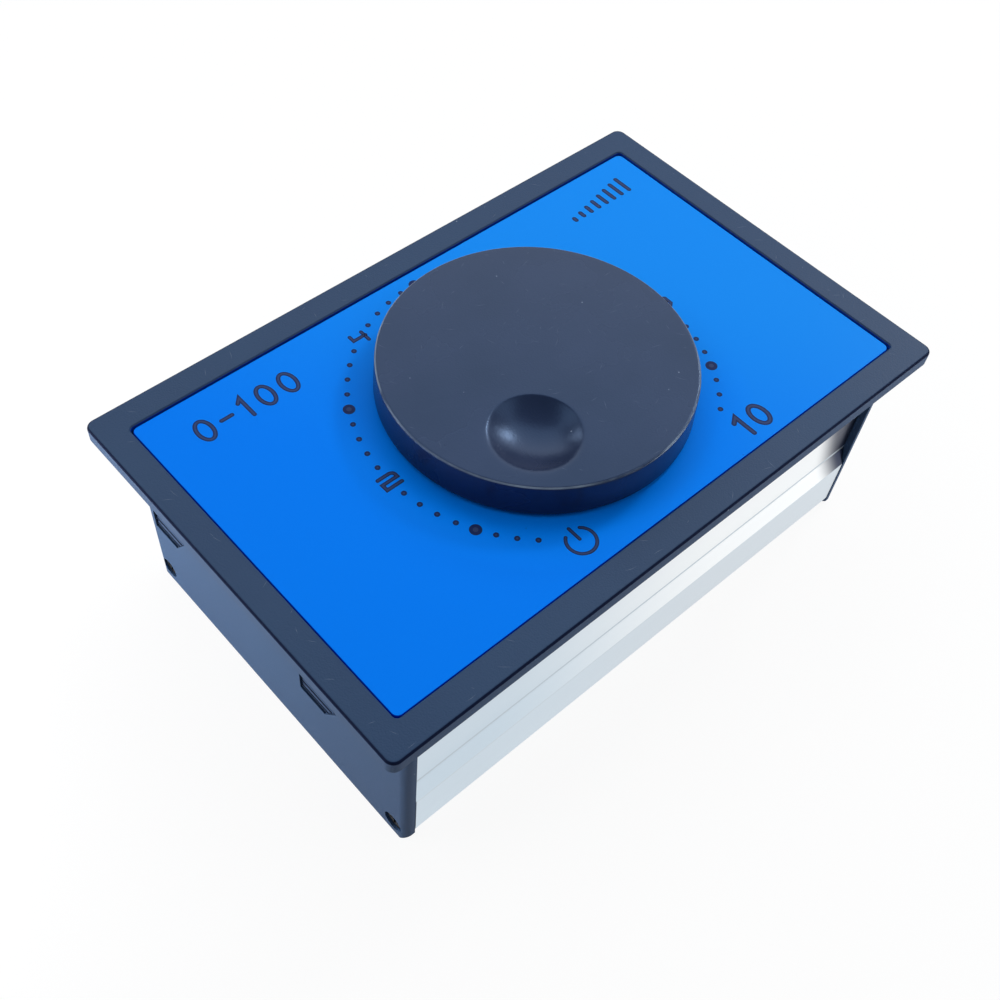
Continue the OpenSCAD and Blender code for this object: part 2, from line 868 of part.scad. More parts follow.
// Each lug grips the tongue from above and runs down its end and through the board
module pot_lugs() {
    lug_y = can_d / 2 + tongue_l + hole_play;
    lug_low_z = pot_board_low_z - board_t / 2;
    lug_top_z = track_top_z + lug_t;
    color("#c8ccd0")
        on_axis()
            for (i = [-1, 0, 1])
                translate([i * lug_pitch, 0, 0]) {
                    translate([0, -lug_y + tongue_l / 4 - lug_t / 2, track_top_z])
                        post(lug_w, tongue_l / 2 + lug_t, lug_t);
                    translate([0, -lug_y - lug_t / 2, lug_low_z])
                        post(lug_w, lug_t, lug_top_z - lug_low_z);
                }
}

// Switch behind the potentiometer

// Floor of the switch case
switch_floor = 1;
// Pivot post of the contact arm, in the frame of the knob axis
pivot_x = -4.2;
pivot_y = 0;
pivot_d = 1.6;
// Contact arm
arm_t = 0.5;
arm_w = 2.2;
arm_l = 8.6;
arm_eye_d = 3.4;
arm_lift = 1.4;
// Angle of the arm when the switch is off, in degrees from +X
arm_angle = 12;
// Crank of the arm with the finger that stands beside the cam
crank_l = 3.9;
crank_angle = -102;
finger_d = 0.6;
finger_reach = 0.9;
// Fixed contacts
contact_x = 5.2;
contact_y = 3.8;
contact_w = 1.4;
contact_t = 0.6;
pin_d = 1;

arm_low_z = switch_low_z + switch_floor + arm_lift;

module switch_case() {
    color("#b5472a")
        on_axis()
            translate([0, 0, switch_low_z]) {
                difference() {
                    cylinder(d = can_d, h = switch_h);
                    translate([0, 0, switch_floor])
                        cylinder(d = can_d - 2 * can_wall, h = switch_h);
                    for (s = [-1, 1])
                        translate([contact_x, s * contact_y, -over])
                            cylinder(d = pin_d + 2 * hole_play, h = switch_floor + 2 * over);
                }
                translate([pivot_x, pivot_y, switch_floor - over])
                    cylinder(d = pivot_d, h = arm_lift + 2 * arm_t + over);
                translate([pivot_x, pivot_y, switch_floor - over])
                    cylinder(d = arm_eye_d, h = arm_lift - hole_play + over);
                for (a = [0 : 90 : 270])
                    rotate([0, 0, a])
                        translate([can_d / 2 - can_wall - pin_d / 2, 0, -switch_foot_h])
                            cylinder(d = pin_d + 2 * can_wall / 2, h = switch_foot_h + switch_floor / 2);
            }
}

module switch_contact_arm() {
    color("#c8963c")
        on_axis()
            translate([pivot_x, pivot_y, arm_low_z])
                rotate([0, 0, arm_angle])
                    difference() {
                        union() {
                            cylinder(d = arm_eye_d, h = arm_t);
                            translate([0, -arm_w / 2, 0])
                                cube([arm_l, arm_w, arm_t]);
                            translate([arm_l - contact_w, -arm_w / 2, 0])
                                cube([contact_w, arm_w, 2 * arm_t]);
                            rotate([0, 0, crank_angle]) {
                                translate([0, -finger_d, 0])
                                    cube([crank_l, 2 * finger_d, arm_t]);
                                translate([crank_l, 0, 0])
                                    cylinder(r = finger_d, h = arm_t);
                                translate([crank_l, 0, 0])
                                    cylinder(d = finger_d, h = cam_low_z + finger_reach - arm_low_z);
                            }
                        }
                        translate([0, 0, -over])
                            cylinder(d = pivot_d + 2 * hole_play, h = arm_t + 2 * over);
                    }
}

// One post each side of the arm's swing, whose pin runs through the floor and the board
module switch_fixed_contacts() {
    pin_low_z = pot_board_low_z - board_t / 2;
    color("#c8a24a")
        on_axis()
            for (s = [-1, 1])
                translate([contact_x, s * contact_y, 0]) {
                    translate([0, 0, pin_low_z])
                        cylinder(d = pin_d, h = switch_low_z + switch_floor - pin_low_z + contact_t);
                    translate([0, 0, switch_low_z + switch_floor])
                        post(contact_w, contact_t + pin_d, contact_t);
                    translate([0, 0, switch_low_z + switch_floor])
                        post(contact_w, contact_t, arm_lift + 2 * arm_t);
                }
}

// Boards

// Pin header between the two boards
header_pins = 6;
pin_spacing = 2.54;
header_pin = 0.64;
header_y = 10.2;
pin_tail = 1;
board_corner_r = 1;

function header_x(i) = (i - (header_pins - 1) / 2) * pin_spacing;

module header_holes() {
    for (i = [0 : header_pins - 1])
        translate([header_x(i), header_y, -over])
            cylinder(d = header_pin * sqrt(2) + 2 * hole_play, h = board_t + 2 * over);
}

module pot_board() {
    lug_y = can_d / 2 + tongue_l + hole_play;
    color("#1d6b3a")
        on_axis()
            translate([0, 0, pot_board_low_z])
                difference() {
                    linear_extrude(board_t)
                        rounded_outline(pot_board_w, pot_board_w, board_corner_r);
                    header_holes();
                    for (i = [-1, 0, 1])
                        translate([i * lug_pitch, -lug_y - lug_t / 2, -over])
                            post(lug_w + 2 * hole_play, lug_t + 2 * hole_play, board_t + 2 * over);
                    for (s = [-1, 1])
                        translate([contact_x, s * contact_y, -over])
                            cylinder(d = pin_d + 2 * hole_play, h = board_t + 2 * over);
                }
}

module pin_header() {
    pin_low_z = main_low_z - pin_tail;
    color("#2a2a2c")
        on_axis() {
            translate([0, header_y, main_top_z])
                post(header_pins * pin_spacing, pin_spacing, pin_spacing);
            for (i = [0 : header_pins - 1])
                translate([header_x(i), header_y, pin_low_z])
                    post(header_pin, header_pin, pot_board_top_z + pin_tail - pin_low_z);
        }
}

// Legs of the power packages: spacing, width, thickness and distance from the back of the tab
leg_pitch = 2.54;
leg_w = 0.8;
leg_t = 0.5;
leg_back = 2.5;
leg_tail = 1;
leg_y = channel_in_y - pad_t - leg_back;

// Pins of the terminal plates through the block and the board
plate_pin_w = 1.2;
plate_pin_t = 0.8;
// Distance of the pins from the block's end
plate_pin_inset = 2.2;
plate_pin_x = block_x - block_w / 2 + plate_pin_inset;

function terminal_y(i) = (i - 1.5) * terminal_pitch;

module main_board() {
    color("#1d6b3a")
        translate([0, 0, main_low_z])
            difference() {
                linear_extrude(board_t)
                    rounded_outline(main_w, main_d, board_corner_r);
                on_axis()
                    header_holes();
                for (sx = [-1, 1], sy = [-1, 1])
                    translate([sx * standoff_x, sy * standoff_y, -over])
                        cylinder(d = screw_d + 2 * slack, h = board_t + 2 * over);
                for (i = [0 : len(package_x_shares) - 1], k = [-1, 0, 1])
                    translate([package_x(i) + k * leg_pitch, leg_y, -over])
                        post(leg_w + 2 * hole_play, leg_t + 2 * hole_play, board_t + 2 * over);
                for (i = [0 : 3])
                    translate([plate_pin_x, terminal_y(i), -over])
                        post(plate_pin_t + 2 * hole_play, plate_pin_w + 2 * hole_play, board_t + 2 * over);
            }
}

module standoffs() {
    color("#c9a54e")
        for (sx = [-1, 1], sy = [-1, 1])
            translate([sx * standoff_x, sy * standoff_y, back_in_z])
                difference() {
                    hex_bar(standoff_flats, standoff_h);
                    translate([0, 0, -over])
                        cylinder(d = screw_d + 2 * hole_play, h = standoff_h + 2 * over);
                }
}

// Length of the screws that enter the standoffs from above and from the back
board_screw_l = 5;
back_screw_l = 4.5;
recess_l = 2.8;
recess_t = 0.6;
recess_depth = 1;

module board_screws() {
    color("#c4c6c8")
        for (sx = [-1, 1], sy = [-1, 1])
            translate([sx * standoff_x, sy * standoff_y, main_top_z + pan_head_h])
                pan_screw(screw_d, pan_head_d, pan_head_h, board_screw_l, recess_l, recess_t, recess_depth);
}

module back_screws() {
    color("#c4c6c8")
        for (sx = [-1, 1], sy = [-1, 1])
            translate([sx * standoff_x, sy * standoff_y, back_lift + hole_play])
                difference() {
                    union() {
                        cylinder(d1 = sink_d, d2 = screw_d, h = sink_depth);
                        cylinder(d = screw_d, h = sink_depth + back_screw_l);
                    }
                    mirror([0, 0, 1])
                        cross_recess(recess_l, recess_t, recess_depth);
                }
}

// Parts on the main board

// Groove that holds the can of a capacitor, as shares of its height and radius
groove_z_share = 0.1;
groove_r_share = 0.06;
cap_edge_share = 0.08;
// Places of the reservoir capacitors, as shares of half the board's length and depth
cap_place_shares = [[-0.8, -0.46], [-0.45, -0.46], [-0.625, 0.16]];

module capacitor(d, h) {
    r = d / 2;
    g = r * groove_r_share;
    e = r * cap_edge_share;
    difference() {
        rotate_extrude()
            difference() {
                union() {
                    square([r, h - e]);
                    square([r - e, h]);
                    translate([r - e, h - e])
                        circle(r = e);
                }
                translate([r, h * groove_z_share])
                    circle(r = g);
            }
        for (a = [0, 90])
            rotate([0, 0, a])
                translate([0, 0, h - e / 2])
                    post(r, e / 2, e);
    }
}

// Puts its children on the main board at a place given as shares of half its length and depth
module on_board(p) {
    translate([p[0] * main_w / 2, p[1] * main_d / 2, main_top_z])
        children();
}

module reservoir_capacitors() {
    color("#23262c")
        for (p = cap_place_shares)
            on_board(p)
                capacitor(cap_d, cap_h);
}

// One power package: its tab's back is at y = 0 and its legs run down through the board
module power_package(legs) {
    z = leg_h;
    difference() {
        union() {
            translate([0, -package_t / 2, z])
                post(package_w, package_t, package_h);
            translate([0, -tab_t / 2, z + package_h - over])
                post(package_w, tab_t, tab_h + over);
        }
        translate([0, over, z + package_h + tab_h / 2])
            rotate([90, 0, 0])
                cylinder(d = screw_d + 4 * slack, h = tab_t + 2 * over);
    }
    for (k = legs)
        translate([k * leg_pitch, -leg_back, -board_t - leg_tail])
            post(leg_w, leg_t, z + board_t + leg_tail + over);
}

module packages(first, last, legs) {
    for (i = [first : last])
        translate([package_x(i), channel_in_y - pad_t, main_top_z])
            power_package(legs);
}

module power_transistors() {
    color("#17181a")
        packages(0, 2, [-1, 0, 1]);
}

module flyback_diodes() {
    color("#17181a")
        packages(3, 4, [-1, 1]);
}

// Margin of an insulating pad round its package
pad_margin_xz = 1;

module insulating_pads() {
    h = package_h + tab_h + 2 * pad_margin_xz;
    color("#c9c5bd")
        for (i = [0 : len(package_x_shares) - 1])
            translate([package_x(i), channel_in_y - pad_t / 2, main_top_z + leg_h - pad_margin_xz])
                difference() {
                    post(package_w + 2 * pad_margin_xz, pad_t, h);
                    translate([0, 0, pad_margin_xz + package_h + tab_h / 2])
                        rotate([90, 0, 0])
                            cylinder(d = screw_d + 2 * slack, h = pad_t + 2 * over, center = true);
                }
}

module transistor_screws() {
    head_top_y = channel_in_y - pad_t - tab_t - pan_head_h;
    l = channel_up_y - slack - head_top_y - pan_head_h;
    color("#c4c6c8")
        for (i = [0 : len(package_x_shares) - 1])
            translate([package_x(i), head_top_y, tab_screw_z])
                rotate([90, 0, 0])
                    pan_screw(screw_d, pan_head_d, pan_head_h, l, recess_l, recess_t, recess_depth);
}

// Control chip: body, legs and place as shares of half the board
chip_l = 9.8;
chip_w = 6.4;
chip_t = 3.3;
chip_lift = 0.5;
chip_pitch = 2.54;
chip_leg = 0.5;
chip_mark_r = 0.75;
chip_row = 7.6;
chip_place_shares = [0.5, -0.62];

module control_chip() {
    chip_shoulder_z = chip_lift + chip_t / 2;
    color("#1b1c1f")
        on_board(chip_place_shares) {
            translate([0, 0, chip_lift])
                difference() {
                    post(chip_l, chip_w, chip_t);
                    translate([-chip_l / 2, 0, chip_t - chip_leg])
                        cylinder(r = chip_mark_r, h = chip_t);
                }
            for (i = [0 : 3], s = [-1, 1]) {
                translate([(i - 1.5) * chip_pitch, s * chip_row / 2, 0])
                    post(chip_leg, chip_leg, chip_shoulder_z);
                translate([(i - 1.5) * chip_pitch, s * (chip_row + chip_w) / 4, chip_shoulder_z - chip_leg])
                    post(chip_leg, (chip_row - chip_w) / 2 + chip_leg, chip_leg);
            }
        }
}

// Regulator in a small round package with one flat side
regulator_d = 4.8;
regulator_h = 4.6;
regulator_lift = 3;
regulator_leg = 0.45;
regulator_flat_share = 0.75;
regulator_place_shares = [0.8, -0.62];

module regulator() {
    color("#1b1c1f")
        on_board(regulator_place_shares) {
            translate([0, 0, regulator_lift])
                difference() {
                    cylinder(d = regulator_d, h = regulator_h);
                    translate([0, regulator_d * regulator_flat_share, -over])
                        post(2 * regulator_d, regulator_d, regulator_h + 2 * over);
                }
            for (k = [-1, 0, 1])
                translate([k * leg_pitch / 2, 0, 0])
                    post(regulator_leg, regulator_leg, regulator_lift + over);
        }
}

// Small electrolytic and film capacitors
small_cap_d = 6.3;
small_cap_h = 11;
small_cap_shares = [[0.22, -0.8], [0.04, -0.8]];
film_w = 13;
film_d = 5;
film_h = 11;
film_corner_share = 0.125;
film_place_shares = [[0.48, 0.46], [0.48, 0.16]];

module small_capacitors() {
    color("#2b3a55")
        for (p = small_cap_shares)
            on_board(p)
                capacitor(small_cap_d, small_cap_h);
}

module film_capacitors() {
    color("#b8862c")
        for (p = film_place_shares)
            on_board(p)
                linear_extrude(film_h)
                    rounded_outline(film_w, film_d, film_d * film_corner_share);
}

// Axial resistors that lie on the board with their leads bent down
resistor_d = 2.4;
resistor_l = 6.4;
resistor_span = 10.2;
resistor_lead = 0.6;
resistor_shares = [[0.42, -0.2], [0.42, -0.34], [0.74, -0.06], [0.74, -0.2], [0.74, -0.34], [-0.08, 0.62]];

module resistors() {
    axis_z = resistor_d / 2 + hole_play;
    color("#c8b48a")
        for (p = resistor_shares)
            on_board(p) {
                translate([0, 0, axis_z])
                    rotate([0, 90, 0]) {
                        cylinder(d = resistor_d, h = resistor_l, center = true);
                        cylinder(d = resistor_lead, h = resistor_span, center = true);
                    }
                for (s = [-1, 1])
                    translate([s * (resistor_span - resistor_lead) / 2, 0, 0])
                        cylinder(d = resistor_lead, h = axis_z);
            }
}

// Terminal block at the back

// Gap between the barriers' tips and the plane on which the box stands
block_floor_gap = 0.4;
// Terminal plates
plate_w = 8.4;
plate_d = 7;
terminal_plate_t = 0.9;
// Screws with a captive square washer
terminal_head_h = 2;
clamp_washer_t = 0.7;
clamp_washer_w = 6.8;
screw_lift = 0.2;
slot_w = 0.9;
slot_depth = 1;

block_face_z = main_low_z - block_base_t;
plate_face_z = block_face_z - terminal_plate_t;
well_depth = block_base_t - barrier_t / 2;

module terminal_block() {
    h = main_low_z - block_floor_gap;
    color("#22252a")
        difference() {
            union() {
                translate([block_x, 0, block_face_z])
                    post(block_w, block_l, block_base_t);
                for (i = [0 : 4])
                    translate([block_x, (i - 2) * terminal_pitch, block_floor_gap])
                        post(block_w, barrier_t, h);
                translate([block_x - (block_w - barrier_t) / 2, 0, block_floor_gap])
                    post(barrier_t, block_l, h);
            }
            for (i = [0 : 3]) {
                translate([block_x, terminal_y(i), block_face_z - over])
                    cylinder(d = terminal_screw_d + 2 * slack, h = well_depth + over);
                translate([plate_pin_x, terminal_y(i), block_face_z - over])
                    post(plate_pin_t + 2 * hole_play, plate_pin_w + 2 * hole_play, block_base_t + 2 * over);
            }
        }
}

module terminal_plates() {
    pin_h = block_base_t + board_t + pin_tail + terminal_plate_t;
    plate_x = block_x - block_w / 2 + barrier_t + slack + plate_w / 2;
    color("#c9b27a")
        for (i = [0 : 3])
            difference() {
                union() {
                    translate([plate_x, terminal_y(i), plate_face_z])
                        post(plate_w, plate_d, terminal_plate_t);
                    translate([plate_pin_x, terminal_y(i), plate_face_z])
                        post(plate_pin_t, plate_pin_w, pin_h);
                }
                translate([block_x, terminal_y(i), plate_face_z - over])
                    cylinder(d = terminal_screw_d + 2 * hole_play, h = terminal_plate_t + 2 * over);
            }
}

// A terminal screw points up into the block and shows its slotted head at the back
module terminal_screw(i) {
    washer_top_z = plate_face_z - screw_lift;
    head_top_z = washer_top_z - clamp_washer_t;
    color("#c4c6c8")
        translate([block_x, terminal_y(i), 0])
            difference() {
                union() {
                    translate([0, 0, head_top_z - terminal_head_h])
                        cylinder(d = terminal_head_d, h = terminal_head_h);
                    translate([0, 0, head_top_z])
                        post(clamp_washer_w, clamp_washer_w, clamp_washer_t);
                    translate([0, 0, head_top_z])
                        cylinder(d = terminal_screw_d, h = block_face_z + well_depth - slack - head_top_z);
                }
                translate([0, 0, head_top_z - terminal_head_h - over])
                    post(terminal_head_d + over, slot_w, slot_depth + over);
            }
}

module terminal_screw_1() {
    terminal_screw(0);
}

module terminal_screw_2() {
    terminal_screw(1);
}

module terminal_screw_3() {
    terminal_screw(2);
}

module terminal_screw_4() {
    terminal_screw(3);
}

bezel();
face_plate();
channel();
case_screws();
knob();
pot_shaft();
pot_rotor();
wiper();
pot_bushing_plate();
pot_washer();
pot_nut();
pot_can();
resistive_track();
pot_lugs();
switch_case();
switch_contact_arm();
switch_fixed_contacts();
pot_board();
pin_header();
main_board();
standoffs();
board_screws();
back_screws();
reservoir_capacitors();
power_transistors();
flyback_diodes();
insulating_pads();
transistor_screws();
control_chip();
regulator();
small_capacitors();
film_capacitors();
resistors();
terminal_block();
terminal_plates();
terminal_screw_1();
terminal_screw_2();
terminal_screw_3();
terminal_screw_4();
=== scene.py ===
import math

import bpy
import numpy as np
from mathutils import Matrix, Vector


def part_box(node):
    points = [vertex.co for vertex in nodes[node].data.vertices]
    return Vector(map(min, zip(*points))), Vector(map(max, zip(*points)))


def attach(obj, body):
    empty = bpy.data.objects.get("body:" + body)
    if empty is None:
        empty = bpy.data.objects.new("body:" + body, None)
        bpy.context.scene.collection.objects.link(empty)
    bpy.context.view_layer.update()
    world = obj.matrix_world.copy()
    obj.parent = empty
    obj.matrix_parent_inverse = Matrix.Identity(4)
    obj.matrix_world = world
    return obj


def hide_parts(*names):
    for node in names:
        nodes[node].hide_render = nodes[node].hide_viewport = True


# Looks of a panel-mounted motor speed controller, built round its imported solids.
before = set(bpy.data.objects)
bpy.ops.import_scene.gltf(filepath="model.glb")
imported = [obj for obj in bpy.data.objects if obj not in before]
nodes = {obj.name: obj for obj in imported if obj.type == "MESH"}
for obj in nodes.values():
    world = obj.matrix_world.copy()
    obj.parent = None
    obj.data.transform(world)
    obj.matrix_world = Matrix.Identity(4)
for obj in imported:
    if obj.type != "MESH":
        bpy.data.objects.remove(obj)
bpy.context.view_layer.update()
scene = bpy.context.scene
mm = 0.001

# where things sit, in mm: the dial's axis, the face print's height, the knob, the main board's top
place = {
    "dialX": 0.9,
    "dialY": -0.7,
    "faceTop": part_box("face_plate")[1].z / mm,
    "knobFoot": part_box("knob")[0].z / mm,
    "knobTop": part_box("knob")[1].z / mm,
    "boardTop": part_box("main_board")[1].z / mm,
}
print("frame loaded:", len(nodes), "nodes, face at", round(place["faceTop"], 2), "mm")

# patterns that the finishes share
patternLook = {
    "cloudDetail": 4.0,
    "cloudSpan": (0.3, 0.7),
    "pitSmoothness": 0.6,
    "pitDetail": 3.0,
    "hairHalfWidth": 0.05,  # mm
    "hairReach": (0.08, 0.24),  # shortest half length and what chance adds, in cells
    "hairChosen": 0.55,
    "hairFlat": 0.99,
    "speckCore": 1.6,
    "speckChosen": 0.5,
    "lineStretch": 0.005,
    "lineDetail": 5.0,
    "broadShare": 0.12,
    "broadDetail": 2.0,
    "planeSoft": 0.02,  # mm
}
floatKind, colorKind, vectorKind = "NodeSocketFloat", "NodeSocketColor", "NodeSocketVector"


def newNode(tree, kind, **settings):
    # one shader node; what inputs holds goes to its sockets by number or name, a socket as a link
    node = tree.nodes.new(kind)
    for key, value in settings.items():
        if key == "inputs":
            for socket, setting in value.items():
                if isinstance(setting, bpy.types.NodeSocket):
                    tree.links.new(setting, node.inputs[socket])
                else:
                    node.inputs[socket].default_value = setting
        else:
            setattr(node, key, value)
    return node


def newGroup(name, inputs, outputs):
    # empty node group with named sockets; returns its tree, what it is given and what it gives back
    tree = bpy.data.node_groups.new(name, "ShaderNodeTree")
    for side, sockets in (("INPUT", inputs), ("OUTPUT", outputs)):
        for socketName, socketKind in sockets.items():
            tree.interface.new_socket(name=socketName, in_out=side, socket_type=socketKind)
    return tree, tree.nodes.new("NodeGroupInput").outputs, tree.nodes.new("NodeGroupOutput").inputs


def rgba(color):
    return (color[0], color[1], color[2], 1.0)


def maths(tree, operation, first, second=0.0, clamp=False):
    settings = {"operation": operation, "use_clamp": clamp, "inputs": {0: first, 1: second}}
    return newNode(tree, "ShaderNodeMath", **settings).outputs[0]


def product(tree, *factors):
    # all factors multiplied, from left to right
    total = factors[0]
    for factor in factors[1:]:
        total = maths(tree, "MULTIPLY", total, factor)
    return total


def fadeOut(tree, value, width, top=1.0):
    # top - value / width, kept between 0 and 1
    return maths(tree, "SUBTRACT", top, maths(tree, "DIVIDE", value, width), clamp=True)


def vectorMaths(tree, operation, first, second, output="Vector"):
    node = newNode(tree, "ShaderNodeVectorMath", operation=operation, inputs={0: first, 1: second})
    return node.outputs[output]


def axisValue(tree, vector, axis):
    return newNode(tree, "ShaderNodeSeparateXYZ", inputs={0: vector}).outputs[axis]


def mixColors(tree, share, first, second):
    return newNode(tree, "ShaderNodeMix", data_type="RGBA", inputs={0: share, 6: first, 7: second}).outputs[2]


def mixValues(tree, share, first, second):
    return newNode(tree, "ShaderNodeMix", data_type="FLOAT", inputs={0: share, 2: first, 3: second}).outputs[0]


def noiseValue(tree, vector, scale, detail):
    inputs = {"Vector": vector, "Scale": scale, "Detail": detail}
    return newNode(tree, "ShaderNodeTexNoise", inputs=inputs).outputs["Fac"]


def smoothShare(tree, value, low, high, bottom=0.0, top=1.0):
    # bottom to top by a smooth step while the value goes from low to high
    return newNode(tree, "ShaderNodeMapRange", interpolation_type="SMOOTHSTEP", inputs={
        "Value": value, "From Min": low, "From Max": high, "To Min": bottom, "To Max": top}).outputs[0]


def buildToneDrift():
    # slow change of tone over a surface: noise moves the colour from Base towards Other
    tree, given, result = newGroup(
        "toneDrift",
        {"Vector": vectorKind, "Scale": floatKind, "Amount": floatKind, "Base": colorKind, "Other": colorKind},
        {"Color": colorKind, "Mask": floatKind})
    cloud = noiseValue(tree, given["Vector"], given["Scale"], patternLook["cloudDetail"])
    low, high = patternLook["cloudSpan"]
    spread = newNode(tree, "ShaderNodeMapRange", inputs={"Value": cloud, "From Min": low, "From Max": high})
    share = maths(tree, "MULTIPLY", spread.outputs[0], given["Amount"], clamp=True)
    tree.links.new(mixColors(tree, share, given["Base"], given["Other"]), result["Color"])
    tree.links.new(share, result["Mask"])
    return tree


def buildMouldGrain():
    # spark-eroded grain of a moulding: cells for the pits plus noise for what lies between them
    tree, given, result = newGroup(
        "mouldGrain", {"Vector": vectorKind, "Scale": floatKind}, {"Height": floatKind})
    cells = newNode(tree, "ShaderNodeTexVoronoi", feature="SMOOTH_F1", inputs={
        "Vector": given["Vector"], "Scale": given["Scale"], "Smoothness": patternLook["pitSmoothness"]})
    between = noiseValue(tree, given["Vector"], given["Scale"], patternLook["pitDetail"])
    tree.links.new(maths(tree, "ADD", cells.outputs["Distance"], between), result["Height"])
    return tree


def buildHandlingMarks():
    # hair scratches on faces that look up: each cell of a flat pattern may hold one bowed line, with an
    # angle, half length and bow of its own; specks: small round spots at the middles of a few cells
    tree, given, result = newGroup(
        "handlingMarks",
        {"Vector": vectorKind, "Facing": vectorKind, "Scratch Scale": floatKind, "Scratch Amount": floatKind,
         "Speck Scale": floatKind, "Speck Radius": floatKind, "Speck Amount": floatKind},
        {"Scratches": floatKind, "Specks": floatKind})
    scale = given["Scratch Scale"]
    cells = newNode(tree, "ShaderNodeTexVoronoi", voronoi_dimensions="2D",
                    inputs={"Vector": given["Vector"], "Scale": scale})
    offset = vectorMaths(tree, "SUBTRACT", given["Vector"], cells.outputs["Position"])
    draws = newNode(tree, "ShaderNodeSeparateColor", inputs={0: cells.outputs["Color"]}).outputs

    # position along and across the line, and the line's bow: across + along * along * bend
    angle = maths(tree, "MULTIPLY", draws[0], 2.0 * math.pi)
    cosine, sine = maths(tree, "COSINE", angle), maths(tree, "SINE", angle)
    ahead = newNode(tree, "ShaderNodeCombineXYZ", inputs={0: cosine, 1: sine}).outputs[0]
    backSine = maths(tree, "MULTIPLY", sine, -1.0)
    aside = newNode(tree, "ShaderNodeCombineXYZ", inputs={0: backSine, 1: cosine}).outputs[0]
    along = vectorMaths(tree, "DOT_PRODUCT", offset, ahead, "Value")
    across = vectorMaths(tree, "DOT_PRODUCT", offset, aside, "Value")
    bend = maths(tree, "MULTIPLY", maths(tree, "SUBTRACT", draws[2], 0.5), scale)
    bowed = maths(tree, "ADD", across, product(tree, along, along, bend))

    # a line fades at its sides and its ends, and only some cells hold one
    thin = fadeOut(tree, maths(tree, "ABSOLUTE", bowed), patternLook["hairHalfWidth"] * mm)
    least, chance = patternLook["hairReach"]
    reach = maths(tree, "DIVIDE", maths(tree, "ADD", maths(tree, "MULTIPLY", draws[1], chance), least), scale)
    ends = fadeOut(tree, maths(tree, "ABSOLUTE", along), reach)
    chosen = maths(tree, "GREATER_THAN", draws[2], patternLook["hairChosen"])
    flat = maths(tree, "GREATER_THAN", axisValue(tree, given["Facing"], 2), patternLook["hairFlat"])
    line = product(tree, thin, ends, chosen, flat)
    tree.links.new(maths(tree, "MULTIPLY", line, given["Scratch Amount"], clamp=True), result["Scratches"])

    grains = newNode(tree, "ShaderNodeTexVoronoi",
                     inputs={"Vector": given["Vector"], "Scale": given["Speck Scale"]})
    away = maths(tree, "DIVIDE", grains.outputs["Distance"], given["Speck Scale"])
    spot = fadeOut(tree, away, given["Speck Radius"], patternLook["speckCore"])
    speckDraw = newNode(tree, "ShaderNodeSeparateColor", inputs={0: grains.outputs["Color"]}).outputs[0]
    few = maths(tree, "GREATER_THAN", speckDraw, patternLook["speckChosen"])
    specks = maths(tree, "MULTIPLY", product(tree, spot, few), given["Speck Amount"], clamp=True)
    tree.links.new(specks, result["Specks"])
    return tree


def buildSlopeShare():
    # 0 to 1 across a surface: how far along a direction a point lies, between From and To
    tree, given, result = newGroup(
        "slopeShare", {"Vector": vectorKind, "Direction": vectorKind, "From": floatKind, "To": floatKind},
        {"Share": floatKind})
    along = vectorMaths(tree, "DOT_PRODUCT", given["Vector"], given["Direction"], "Value")
    tree.links.new(smoothShare(tree, along, given["From"], given["To"]), result["Share"])
    return tree


def buildDrawLines():
    # lines that a die or a roll leaves along X: noise stretched two hundred times along the part
    tree, given, result = newGroup(
        "drawLines", {"Vector": vectorKind, "Scale": floatKind}, {"Height": floatKind, "Tone": floatKind})
    stretched = newNode(tree, "ShaderNodeMapping", inputs={
        "Vector": given["Vector"], "Scale": (patternLook["lineStretch"], 1.0, 1.0)}).outputs[0]
    broadScale = maths(tree, "MULTIPLY", given["Scale"], patternLook["broadShare"])
    for socketName, scale, detail in (("Height", given["Scale"], patternLook["lineDetail"]),
                                      ("Tone", broadScale, patternLook["broadDetail"])):
        tree.links.new(noiseValue(tree, stretched, scale, detail), result[socketName])
    return tree


def buildZone():
    # 1 where Value lies between Low and High, 0 outside, with an edge Soft wide
    tree, given, result = newGroup(
        "zone", {"Value": floatKind, "Low": floatKind, "High": floatKind, "Soft": floatKind},
        {"Mask": floatKind})
    fromLow = maths(tree, "SUBTRACT", given["Value"], given["Low"])
    toHigh = maths(tree, "SUBTRACT", given["High"], given["Value"])
    above, below = (maths(tree, "DIVIDE", gap, given["Soft"], clamp=True) for gap in (fromLow, toHigh))
    tree.links.new(product(tree, above, below), result["Mask"])
    return tree


groups = {tree.name: tree for tree in (
    buildToneDrift(), buildMouldGrain(), buildHandlingMarks(),
    buildDrawLines(), buildZone(), buildSlopeShare())}


def useGroup(tree, name, **inputs):
    # places a shared group in a material; its sockets are given by name with _ for a space
    node = tree.nodes.new("ShaderNodeGroup")
    node.node_tree = groups[name]
    for key, value in inputs.items():
        socket = node.inputs[key.replace("_", " ")]
        if isinstance(value, bpy.types.NodeSocket):
            tree.links.new(value, socket)
        else:
            socket.default_value = value
    return node.outputs


def driftTones(tree, coordinates, scale, amount, base, other):
    return useGroup(tree, "toneDrift", Vector=coordinates, Scale=scale, Amount=amount,
                    Base=rgba(base), Other=rgba(other))


def zoneMask(tree, value, low, high, soft):
    return useGroup(tree, "zone", Value=value, Low=low, High=high, Soft=soft)["Mask"]


def spanMask(tree, distance, span, soft):
    # zone of a distance, all in mm
    low, high = span
    return zoneMask(tree, distance, low * mm, high * mm, soft * mm)


def slopeAlong(tree, coordinates, way, span):
    # 0 to 1 along a direction, between two distances in mm
    low, high = span
    return useGroup(tree, "slopeShare", Vector=coordinates, Direction=way, From=low * mm, To=high * mm)["Share"]


